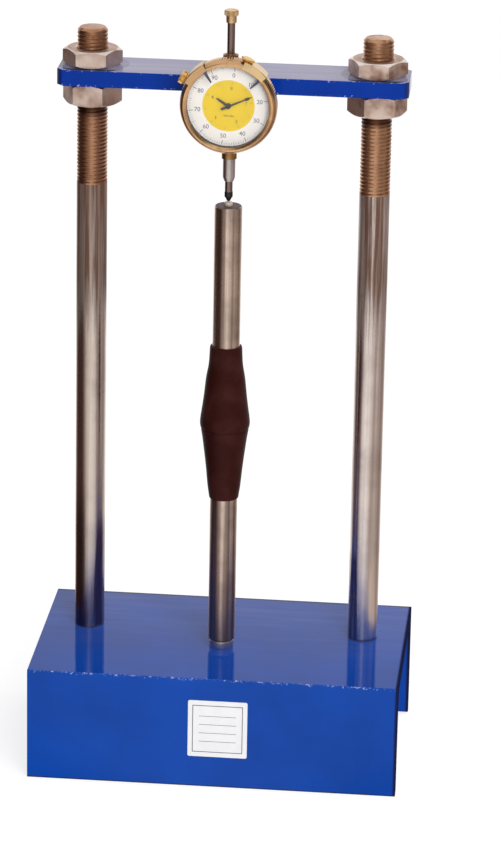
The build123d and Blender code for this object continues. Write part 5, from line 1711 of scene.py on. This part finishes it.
@dataclass
class ReferenceBar:
    """Loose ground bar with its nose and its grip sleeve.

    The heights are above the bar's foot in low_end, above the grip's start in grip, and
    measured from the bar's top in the other outlines.
    """

    foot: float = 82.5
    length: float = 302.0
    low_end: Outline = ((0.0, 0.0, 0.0), (8.2, 0.0, 0.2), (9.0, 0.8, 0.2))
    top_end: Outline = (
        (9.0, -0.8, 0.2), (8.4, -0.2, 0.1), (2.7, -0.4, 0.0), (0.0, -0.4, 0.0),
    )
    end_disc: Outline = (
        (2.75, -0.45, 0.0), (8.45, -0.25, 0.0), (8.2, 0.0, 0.1), (2.75, 0.0, 0.0),
    )
    nose: Outline = (
        (0.0, -0.4, 0.0), (2.6, -0.4, 0.0), (2.8, 0.0, 0.0), (2.8, 1.9, 0.4), (2.3, 2.4, 0.4),
        (0.0, 2.4, 0.0),
    )
    grip_start: float = 100.8
    grip: Outline = (
        (9.02, 0.0, 0.0), (9.7, 0.0, 0.5), (10.9, 8.0, 3.0), (12.5, 24.5, 6.0),
        (14.75, 42.0, 5.0), (15.75, 47.9, 0.3), (15.2, 48.4, 0.2), (15.25, 49.0, 0.2),
        (16.1, 49.5, 0.3), (16.7, 53.0, 5.0), (14.4, 69.0, 6.0), (12.9, 84.0, 4.0),
        (11.2, 92.5, 4.0), (10.6, 104.9, 0.8), (10.0, 105.7, 0.5), (9.02, 105.7, 0.0),
    )

    def build(self) -> None:
        """Make the bar, the nose and the grip."""
        place, body = upright(0.0, STEM_Y), Body.REFERENCE
        top = self.foot + self.length
        turned_piece("reference_bar_turned",
                     raised(self.low_end, self.foot) + raised(self.top_end, top),
                     place, body, GROUND, ("reference_bar",))
        turned_piece("reference_bar_end", raised(self.end_disc, top), place, body, BAR_END)
        turned_piece("bar_nose_turned", raised(self.nose, top), place, body, NOSE,
                     ("bar_nose",), segments=64)
        outline = rounded(raised(self.grip, self.foot + self.grip_start), steps=8)
        grip = turned("grip_sleeve", outline, place, segments=128, crease=40.0)
        place_piece(grip.name, grip, body, GRIP, ("bar_grip",))


@dataclass
class DialCase:
    """Case of the gauge with its back, stem and upper bush."""

    stem: Outline = (
        (2.56, 400.9, 0.0), (3.1, 400.9, 0.2), (4.0, 403.6, 0.4), (4.0, 428.18, 0.0),
        (2.56, 428.18, 0.0),
    )
    bush: Outline = (
        (2.56, 479.42, 0.0), (3.6, 479.42, 0.0), (3.6, 485.6, 0.25), (2.56, 485.6, 0.1),
    )

    def build(self) -> None:
        """Make the case's pieces."""
        eased_copy("dial_case", Body.CROSSBAR, CASE, edge=0.15, angle=50.0)
        eased_copy("back_cover", Body.CROSSBAR, CASE, edge=0.3, angle=50.0)
        place = upright(0.0, STEM_Y)
        turned_piece("lower_stem_turned", self.stem, place, Body.CROSSBAR, STEM,
                     ("lower_stem",), segments=64)
        turned_piece("upper_bush_turned", self.bush, place, Body.CROSSBAR, BUSH,
                     ("upper_bush",), segments=64)


@dataclass
class Bezel:
    """Bezel ring with its knurled rim, crystal and printed dial.

    Each row of marks in scale, and counter, has a name, the length and width of a mark, their
    count, their radius and the angle of the first. graduation is a text, its size and place.
    """

    makers: Makers
    face_front: float = 11.1
    face_back: float = 10.5
    face_bore: float = 1.8
    face_edge: float = 27.5
    face_turn: float = -9.0
    print_height: float = 0.03
    centre_bore: float = 1.85
    centre_edge: float = 16.9
    centre_sink: float = 0.01
    ribs: int = 132
    rib_size: Corner = (0.62, 0.62, 5.6)
    rib_radius: float = 31.06
    rib_height: float = 9.6
    number_radius: float = 20.3
    number_size: float = 4.0
    count_radius: float = 11.6
    count_size: float = 3.0
    graduation: tuple[str, float, float, float] = ("0.01 mm", 1.9, 0.4, -6.6)
    number_step: float = 36.0
    numbers: int = 10
    number_unit: int = 10
    stroke: float = 0.05
    stroke_steps: int = 4
    scale: tuple[tuple[str, float, float, int, float, float], ...] = (
        ("fine", 1.5, 0.16, 100, 25.2, 0.0),
        ("fives", 2.1, 0.22, 20, 24.9, 0.0),
        ("tens", 2.8, 0.42, 10, 24.55, 18.0),
    )
    counter: tuple[str, float, float, int, float, float] = ("marks", 1.2, 0.3, 10, 14.9, 18.0)
    window: Outline = (
        (0.0, 14.3, 0.0), (27.4, 14.3, 0.1), (27.4, 15.75, 0.1), (26.4, 15.75, 0.3),
        (18.0, 16.2, 6.0), (0.0, 16.45, 0.0),
    )
    rim: Outline = (
        (27.58, 6.0, 0.0), (30.6, 6.0, 0.2), (31.15, 6.6, 0.3), (31.15, 12.6, 0.3),
        (30.5, 13.1, 0.4), (30.5, 13.7, 0.3), (30.9, 14.2, 0.5), (29.4, 16.6, 1.3),
        (28.2, 16.6, 0.5), (26.5, 16.0, 0.2), (26.5, 15.82, 0.0), (27.58, 15.82, 0.0),
        (27.58, 8.46, 0.0), (28.08, 8.46, 0.0), (28.08, 7.54, 0.0), (27.58, 7.54, 0.0),
    )

    def build(self) -> None:
        """Make the ring, the crystal and the dial."""
        self.make_ring()
        turned_piece("crystal_window", self.window, on_dial(), Body.BEZEL, CRYSTAL, ("crystal",))
        front, thick = self.face_front, self.print_height
        for name, bore, edge, back, top, finish, nodes in (
            ("dial_plate", self.face_bore, self.face_edge, self.face_back, front, ENAMEL,
             ("dial_face",)),
            ("dial_centre", self.centre_bore, self.centre_edge, front - self.centre_sink,
             front + thick, YELLOW, ()),
        ):
            outline = [(bore, back, 0.0), (edge, back, 0.0), (edge, top, 0.0), (bore, top, 0.0)]
            turned_piece(name, outline, on_dial(), Body.BEZEL, finish, nodes)
        self.print_scale()
        self.print_numbers()

    def make_ring(self) -> None:
        """Turn the ring and set the knurl's ribs round its rim."""
        ring = turned("bezel_ring_turned", rounded(self.rim), on_dial(), segments=128)
        ribs = self.makers.rings.ring(
            "ribs", block(self.rib_size, ON_EDGE), self.ribs, self.rib_radius, 0.0,
            self.rib_height, on_dial(), BEZEL,
        )
        whole = joined("bezel_ring_turned", [ring, ribs])
        place_piece("bezel_ring_turned", whole, Body.BEZEL, BEZEL, ("bezel_ring",))

    def marks(
        self, name: str, length: float, width: float, count: int, radius: float, start: float,
        height: float, finish: Finish,
    ) -> bpy.types.Mesh:
        """Ring of printed marks.

        Args:
            name: Name of the mesh.
            length: Length of a mark along the radius.
            width: Its width.
            count: Number of marks.
            radius: Radius of their middles.
            start: Angle of the first in degrees.
            height: Their distance in front of the stem's axis.
            finish: Finish of the ink.

        Returns:
            The mesh.
        """
        mark = block((length, width, 2 * self.print_height))
        return self.makers.rings.ring(
            name, mark, count, radius, start, height, on_dial(self.face_turn), finish)

    def print_scale(self) -> None:
        """Print the outer scale's and the counter's marks."""
        height = self.face_front + self.print_height / 2
        rows = [self.marks(*row, height, INK) for row in self.scale]
        place_piece("dial_scale", joined("dial_scale", rows), Body.BEZEL, INK)
        height += self.print_height
        marks = self.marks(*self.counter, height, SMALL_INK)
        place_piece("counter_scale", marks, Body.BEZEL, SMALL_INK)

    def lettering(
        self, text: str, size: float, x: float, y: float, height: float
    ) -> bpy.types.Mesh:
        """Flat text centred on a place of the dial.

        Args:
            text: What to print.
            size: Height of the font in millimetres.
            x: Place to the right of the dial's centre.
            y: Place above it.
            height: Distance in front of the stem's axis.

        Returns:
            The mesh.
        """
        curve = bpy.data.curves.new(f"text_{text}", "FONT")
        curve.body = text
        curve.size = size
        curve.align_x = "CENTER"
        curve.align_y = "CENTER"
        curve.offset = self.stroke
        curve.extrude = self.print_height
        curve.resolution_u = self.stroke_steps
        mesh = evaluated_mesh(linked("text", curve))
        bpy.data.curves.remove(curve)
        mesh.transform(on_dial() @ Matrix.Translation((x, y, height)))
        return mesh

    def number(
        self, count: int, step: int, size: float, radius: float, height: float
    ) -> bpy.types.Mesh:
        """Number at one of the ten places round the dial, clockwise from the top.

        Args:
            count: The number.
            step: Its place, from 0 at the top.
            size: Height of the font in millimetres.
            radius: Distance from the dial's centre.
            height: Distance in front of the stem's axis.

        Returns:
            The mesh.
        """
        angle = math.radians(90.0 + self.face_turn - self.number_step * step)
        x, y = radius * math.cos(angle), radius * math.sin(angle)
        return self.lettering(str(count), size, x, y, height)

    def print_numbers(self) -> None:
        """Print the plain numbers of both scales."""
        front, unit = self.face_front, self.number_unit
        outer = [self.number(step * unit, step, self.number_size, self.number_radius, front)
                 for step in range(self.numbers)]
        front += self.print_height
        inner = [self.number(step // 2, step, self.count_size, self.count_radius, front)
                 for step in range(0, self.numbers, 2)]
        inner.append(self.lettering(*self.graduation, front))
        place_piece("dial_numbers", joined("dial_numbers", outer), Body.BEZEL, INK)
        numbers = joined("counter_numbers", inner)
        place_piece("counter_numbers", numbers, Body.BEZEL, SMALL_INK)


@dataclass
class Hands:
    """Main pointer and counter hand.

    Each has a node, a body, an angle, the height of its back, a bore and one side's outline.
    """

    thickness: float = 0.3
    hub_radius: float = 1.7
    hub_back: float = 0.4
    hub_edge: float = 0.1
    hands: tuple[tuple[str, Body, float, float, float, tuple[Point, ...]], ...] = (
        ("main_pointer", Body.POINTER, 24.0, 12.9, 0.52, (
            (-5.0, 0.7), (-3.4, 0.9), (0.0, 0.75), (11.2, 0.36), (12.6, 1.0), (14.3, 0.85),
            (15.6, 0.28), (17.0, 0.12),
        )),
        ("counter_hand", Body.COUNTER, 147.0, 11.9, 0.97, (
            (-1.5, 0.6), (0.0, 0.95), (5.6, 0.75), (8.0, 0.55), (9.4, 0.12),
        )),
    )

    def build(self) -> None:
        """Make both hands with their hubs."""
        wide, edge = self.hub_radius, self.hub_edge
        for node, body, angle, back, bore, half in self.hands:
            outline = [*half, *((x, -y) for x, y in reversed(half))]
            front, low = back + self.thickness, back - self.hub_back
            blade = flat_shape("blade", outline, back, front, on_dial(angle))
            hub = turned("hub", rounded([
                (bore, low, 0.0), (wide, low, edge), (wide, front, edge), (bore, front, 0.0),
            ]), on_dial(), segments=48)
            mesh = joined(node + "_cut", [blade, hub])
            place_piece(node + "_cut", mesh, body, HAND, (node,))


@dataclass
class LimitClip:
    """Brass clip on the bezel's rim with a blued blade and a knurled knob."""

    side: str
    angle: float
    body: Body
    makers: Makers
    knob_reach: float
    finish: Metal
    blade: tuple[Point, ...] = ((19.6, -0.45), (28.4, -1.15), (28.4, 1.15), (19.6, 0.45))
    blade_back: float = 16.72
    blade_front: float = 17.3
    lead: float = 3.0
    span: float = 30.5
    steps: int = 14
    section: tuple[Point, ...] = (
        (27.6, 16.7), (31.6, 16.7), (31.6, 5.9), (30.0, 5.9), (30.0, 5.2), (32.4, 5.2),
        (32.4, 17.0), (32.0, 17.4), (27.6, 17.4),
    )
    strap_radius: float = 32.4
    knob_angle: float = 25.0
    knob_height: float = 12.0
    knob_radius: float = 4.3
    knob_start: float = 31.9
    neck_end: float = 32.7
    neck_step: float = 0.7
    neck_edge: float = 0.1
    barrel_start: float = 33.1
    barrel_edge: float = 0.2
    end_step: float = 0.6
    end_edge: float = 0.3
    ribs: int = 36
    rib_start: float = 33.2
    rib_end_gap: float = 0.4
    rib_end_loss: float = 33.7
    rib_least: float = 0.5
    rib_size: float = 0.44
    rib_sink: float = 0.02

    def build(self) -> None:
        """Make the clip's body and its blade."""
        node = f"limit_clip_{self.side}"
        place_piece(node + "_strap", self.strap(), self.body, self.finish, (node,))
        place_piece(node + "_knob", joined(node + "_knob", self.knob()), self.body, KNOB)
        blade = flat_shape(
            node + "_blade", self.blade, self.blade_back, self.blade_front, on_dial(self.angle))
        place_piece(node + "_blade", blade, self.body, BLADE)

    def strap(self) -> bpy.types.Mesh:
        """Bent strap that grips the bezel's rim over an arc.

        Returns:
            The mesh.
        """
        shape = bmesh.new()
        rings = []
        for step in range(self.steps + 1):
            angle = math.radians(-self.lead + self.span * step / self.steps)
            x, y = math.cos(angle), math.sin(angle)
            rings.append([shape.verts.new((r * x, r * y, z)) for r, z in self.section])
        return stacked("strap", rings, shape, on_dial(self.angle))

    def knob(self) -> list[bpy.types.Mesh]:
        """Knurled knob that stands out of the strap.

        Returns:
            The barrel and its ribs.
        """
        middle = Matrix.Translation((0.0, 0.0, self.knob_height))
        tilt = middle @ Matrix.Rotation(math.pi / 2, 4, "Y")
        outward = on_dial(self.angle + self.knob_angle) @ tilt
        end, wide, edge = self.strap_radius + self.knob_reach, self.knob_radius, self.end_edge
        neck = wide - self.neck_step
        barrel = turned("barrel", rounded([
            (0.0, self.knob_start, 0.0), (neck, self.knob_start, 0.0),
            (neck, self.neck_end, self.neck_edge), (wide, self.barrel_start, self.barrel_edge),
            (wide, end - edge, edge), (wide - self.end_step, end, edge), (0.0, end, 0.0),
        ]), outward, segments=48)
        rib = (self.rib_size, self.rib_size, max(end - self.rib_end_loss, self.rib_least))
        ribs = self.makers.rings.ring(
            "knob_ribs", block(rib, ON_EDGE), self.ribs, wide - self.rib_sink, 0.0,
            (self.rib_start + end - self.rib_end_gap) / 2, outward, CLIP,
        )
        return [barrel, ribs]


@dataclass
class Plunger:
    """Spindle of the gauge with its contact point and its lifting cap."""

    makers: Makers
    contact: Outline = (
        (0.0, 387.2, 0.0), (0.6, 387.3, 0.3), (1.3, 387.95, 0.4), (1.5, 388.7, 0.2),
        (2.7, 390.5, 0.3), (2.7, 393.8, 0.3), (1.2, 393.8, 0.0), (1.2, 397.8, 0.0),
        (0.0, 397.8, 0.0),
    )
    cap: Outline = (
        (2.52, 506.0, 0.0), (3.4, 506.0, 0.2), (3.5, 510.6, 0.2), (4.2, 510.6, 0.1),
        (4.35, 510.9, 0.1), (4.35, 513.9, 0.2), (4.1, 514.2, 0.2), (0.0, 514.2, 0.0),
        (0.0, 511.05, 0.0), (2.52, 511.05, 0.0),
    )
    ribs: int = 36
    rib_size: Corner = (0.42, 0.42, 2.7)
    rib_radius: float = 4.28
    rib_height: float = 512.4

    def build(self) -> None:
        """Make the spindle's visible pieces."""
        place = upright(0.0, STEM_Y)
        eased_copy("spindle", Body.PLUNGER, ROD, edge=0.1, angle=60.0)
        turned_piece("contact_point_turned", self.contact, place, Body.PLUNGER, CONTACT,
                     ("contact_point",), segments=64)
        cap = turned("cap", rounded(self.cap), place, segments=64)
        ribs = self.makers.rings.ring(
            "cap_ribs", block(self.rib_size, ON_EDGE), self.ribs, self.rib_radius, 0.0,
            self.rib_height, place, CAP,
        )
        mesh = joined("lifting_cap_turned", [cap, ribs])
        place_piece("lifting_cap_turned", mesh, Body.PLUNGER, CAP, ("lifting_cap",))


WHITE = (1.0, 1.0, 1.0)
SIDE_DARK, SIDE_DIM, SIDE_MID = (0.060, 0.032, 0.030), (0.28, 0.21, 0.19), (0.48, 0.42, 0.39)
SIDE_SOFT, SIDE_BRIGHT = (0.72, 0.66, 0.63), (0.90, 0.86, 0.82)
SURROUNDINGS = (
    (-180.0, WHITE), (-144.0, WHITE), (-128.0, SIDE_DIM), (-112.0, SIDE_DARK),
    (-64.0, SIDE_DARK), (-50.0, SIDE_DIM), (-32.0, SIDE_BRIGHT), (-6.0, WHITE), (8.0, WHITE),
    (30.0, SIDE_BRIGHT), (41.0, SIDE_SOFT), (54.0, SIDE_DIM), (65.0, SIDE_SOFT),
    (78.0, SIDE_MID), (98.0, SIDE_MID), (112.0, SIDE_DIM), (140.0, SIDE_MID), (155.0, WHITE),
)
ROOM_DARK, ROOM_MID = (0.05, 0.045, 0.05), (0.35, 0.33, 0.32)
ROOM = (
    (-180.0, WHITE), (-140.0, WHITE), (-120.0, ROOM_DARK), (-14.0, ROOM_DARK), (-6.0, WHITE),
    (10.0, WHITE), (16.0, ROOM_DARK), (60.0, ROOM_DARK), (80.0, ROOM_MID), (96.0, ROOM_DARK),
    (125.0, ROOM_DARK), (145.0, WHITE),
)


def around(graph: Graph, place: Socket, stops: tuple[tuple[float, Colour], ...]) -> Socket:
    """Colour that shiny surfaces see in a direction round the object.

    Args:
        graph: Tree that gets the nodes.
        place: Direction or place, of which x and y count.
        stops: Bearing in degrees and colour of each stop.

    Returns:
        The colour's socket.
    """
    x, y, _ = graph.split(place)
    share = graph.math("MULTIPLY_ADD", graph.bearing(x, y), 0.5 / math.pi, 0.5)
    return graph.steps(share, [(angle / 360.0 + 0.5, colour) for angle, colour in stops])


def shiny_ray(graph: Graph) -> Socket:
    """1 where a ray comes from a reflection or through glass.

    Args:
        graph: Tree that gets the nodes.

    Returns:
        The result's socket.
    """
    path = graph.add("ShaderNodeLightPath")
    return graph.math(
        "MAXIMUM", path.outputs["Is Glossy Ray"], path.outputs["Is Transmission Ray"])


def to_camera(graph: Graph) -> Socket:
    """1 where a ray comes straight from the camera."""
    return graph.add("ShaderNodeLightPath").outputs["Is Camera Ray"]


@dataclass
class Studio:
    """Camera, floor, world and lamp.

    The camera's distance and target are in millimetres, the floor's and the lamp's sizes and
    places in metres. horizon and zenith are the heights of a direction between which the
    surroundings, the room and the ceiling follow one another.
    """

    yaw: float = -0.0889
    pitch: float = 0.333
    roll: float = -0.0185
    distance: float = 2790.68
    target: Corner = (15.47, 0.0, 227.15)
    focal_pixels: float = 4204.23
    image_height: float = 857.0
    sensor: float = 36.0
    clip_end: float = 50.0
    horizon: Point = (0.02, 0.12)
    zenith: Point = (0.50, 0.75)
    ceiling: Colour = (0.9, 0.9, 0.9)
    sideways: Point = (-0.9, 0.9)
    light_left: Colour = (0.18, 0.18, 0.19)
    light_right: Colour = (1.02, 1.02, 1.03)
    floor_colour: tuple[float, float, float, float] = (0.42, 0.42, 0.42, 1.0)
    floor_glow: Colour = (0.74, 0.74, 0.74)
    floor_bounce: Colour = (0.30, 0.30, 0.30)
    floor_size: float = 8.0
    floor_drop: float = 0.0004
    lamp_spot: Corner = (0.9, -2.3, 1.5)
    lamp_aim: Corner = (0.0, 0.0, 0.2)
    lamp_size: float = 1.8
    lamp_power: float = 45.0

    def build(self) -> None:
        """Set up everything round the object."""
        scene = bpy.context.scene
        scene.view_settings.view_transform = "Standard"
        self.set_camera(scene)
        self.set_world(scene)
        self.lay_floor()
        self.hang_lamp()

    def set_camera(self, scene: bpy.types.Scene) -> None:
        """Put the camera at the photograph's viewpoint.

        Args:
            scene: The scene.
        """
        forward = Vector((
            math.sin(self.yaw) * math.cos(self.pitch), math.cos(self.yaw) * math.cos(self.pitch),
            -math.sin(self.pitch),
        ))
        right = Vector((math.cos(self.yaw), -math.sin(self.yaw), 0.0))
        down = forward.cross(right)
        level = right * math.cos(self.roll) + down * math.sin(self.roll)
        plumb = down * math.cos(self.roll) - right * math.sin(self.roll)
        camera = linked("camera", bpy.data.cameras.new("camera"))
        camera.data.sensor_width = self.sensor
        camera.data.lens = self.focal_pixels * self.sensor / self.image_height
        camera.data.clip_end = self.clip_end
        spot = (Vector(self.target) - forward * self.distance) * MM
        axes = Matrix((level, -plumb, -forward)).transposed()
        camera.matrix_world = Matrix.Translation(spot) @ axes.to_4x4()
        scene.camera = camera

    def set_world(self, scene: bpy.types.Scene) -> None:
        """White to the camera, soft light from the right, a plain studio in reflections.

        Args:
            scene: The scene.
        """
        world = bpy.data.worlds.new("studio")
        scene.world = world
        world.use_nodes = True
        graph = Graph(world.node_tree)
        place = graph.add("ShaderNodeTexCoord").outputs["Generated"]
        across, _, height = graph.split(place)
        sides, above = (around(graph, place, stops) for stops in (SURROUNDINGS, ROOM))
        seen = graph.blend(graph.remap(height, *self.horizon), sides, above)
        seen = graph.blend(graph.remap(height, *self.zenith), seen, self.ceiling)
        side = graph.remap(across, *self.sideways)
        soft = graph.blend(side, self.light_left, self.light_right)
        light = graph.blend(shiny_ray(graph), soft, seen)
        colour = graph.blend(to_camera(graph), light, WHITE)
        background = graph.add("ShaderNodeBackground")
        graph.feed(background.inputs["Color"], colour)
        output = graph.add("ShaderNodeOutputWorld")
        graph.feed(output.inputs["Surface"], background.outputs[0])

    def lay_floor(self) -> None:
        """Pale floor that keeps the object's shadow and is white round it."""
        shape = bmesh.new()
        bmesh.ops.create_grid(shape, x_segments=1, y_segments=1, size=self.floor_size)
        mesh = mesh_of("floor", shape)
        mesh.transform(Matrix.Translation((0.0, 0.0, -self.floor_drop)))
        floor = linked("floor", mesh)
        material = bpy.data.materials.new("floor_white")
        material.use_nodes = True
        graph = Graph(material.node_tree)
        matt = graph.add("ShaderNodeBsdfDiffuse")
        graph.feed(matt.inputs["Color"], self.floor_colour)
        glow = graph.add("ShaderNodeEmission")
        shiny = shiny_ray(graph)
        dim = graph.blend(to_camera(graph), self.floor_bounce, self.floor_glow)
        seen = around(graph, graph.place(), SURROUNDINGS)
        graph.feed(glow.inputs["Color"], graph.blend(shiny, dim, seen))
        lit = graph.add("ShaderNodeAddShader")
        graph.feed(lit.inputs[0], matt.outputs[0])
        graph.feed(lit.inputs[1], glow.outputs[0])
        choice = graph.add("ShaderNodeMixShader")
        graph.feed(choice.inputs[0], shiny)
        graph.feed(choice.inputs[1], lit.outputs[0])
        graph.feed(choice.inputs[2], glow.outputs[0])
        output = graph.add("ShaderNodeOutputMaterial")
        graph.feed(output.inputs["Surface"], choice.outputs[0])
        mesh.materials.append(material)

    def hang_lamp(self) -> None:
        """Large soft lamp in front of the object, to the right and above."""
        data = bpy.data.lights.new("softbox", "AREA")
        data.shape = "DISK"
        data.size = self.lamp_size
        data.energy = self.lamp_power
        lamp = linked("softbox", data)
        spot = Vector(self.lamp_spot)
        aim = (Vector(self.lamp_aim) - spot).to_track_quat("-Z", "Y")
        lamp.matrix_world = Matrix.Translation(spot) @ aim.to_matrix().to_4x4()
        lamp.visible_glossy = False


def dress_hidden_nodes() -> None:
    """Give the nodes that keep their own mesh their finishes."""
    for node, finish in HIDDEN_NODES.items():
        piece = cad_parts[node]
        piece.data.materials.clear()
        piece.data.materials.append(finish.material())
        LOG.info("node %s: %s", node, finish.name)


def main() -> None:
    """Build the stand and the studio round it."""
    logging.basicConfig(level=logging.INFO, format="%(name)s: %(message)s")
    makers = Makers()
    assemblies = [
        BaseChannel(),
        Pillar("left", -PILLAR_X, makers),
        Pillar("right", PILLAR_X, makers),
        CrossbarUnit(),
        ReferenceBar(),
        DialCase(),
        Bezel(makers),
        Hands(),
        LimitClip("left", angle=123.4, body=Body.CLIP_LEFT, makers=makers, knob_reach=3.8,
                  finish=CLIP_SHADED),
        LimitClip("right", angle=43.3, body=Body.CLIP_RIGHT, makers=makers, knob_reach=2.0,
                  finish=CLIP),
        Plunger(makers),
        Studio(),
    ]
    for assembly in assemblies:
        LOG.info("building %s", type(assembly).__name__)
        assembly.build()
    dress_hidden_nodes()


if __name__ == "__main__":
    main()
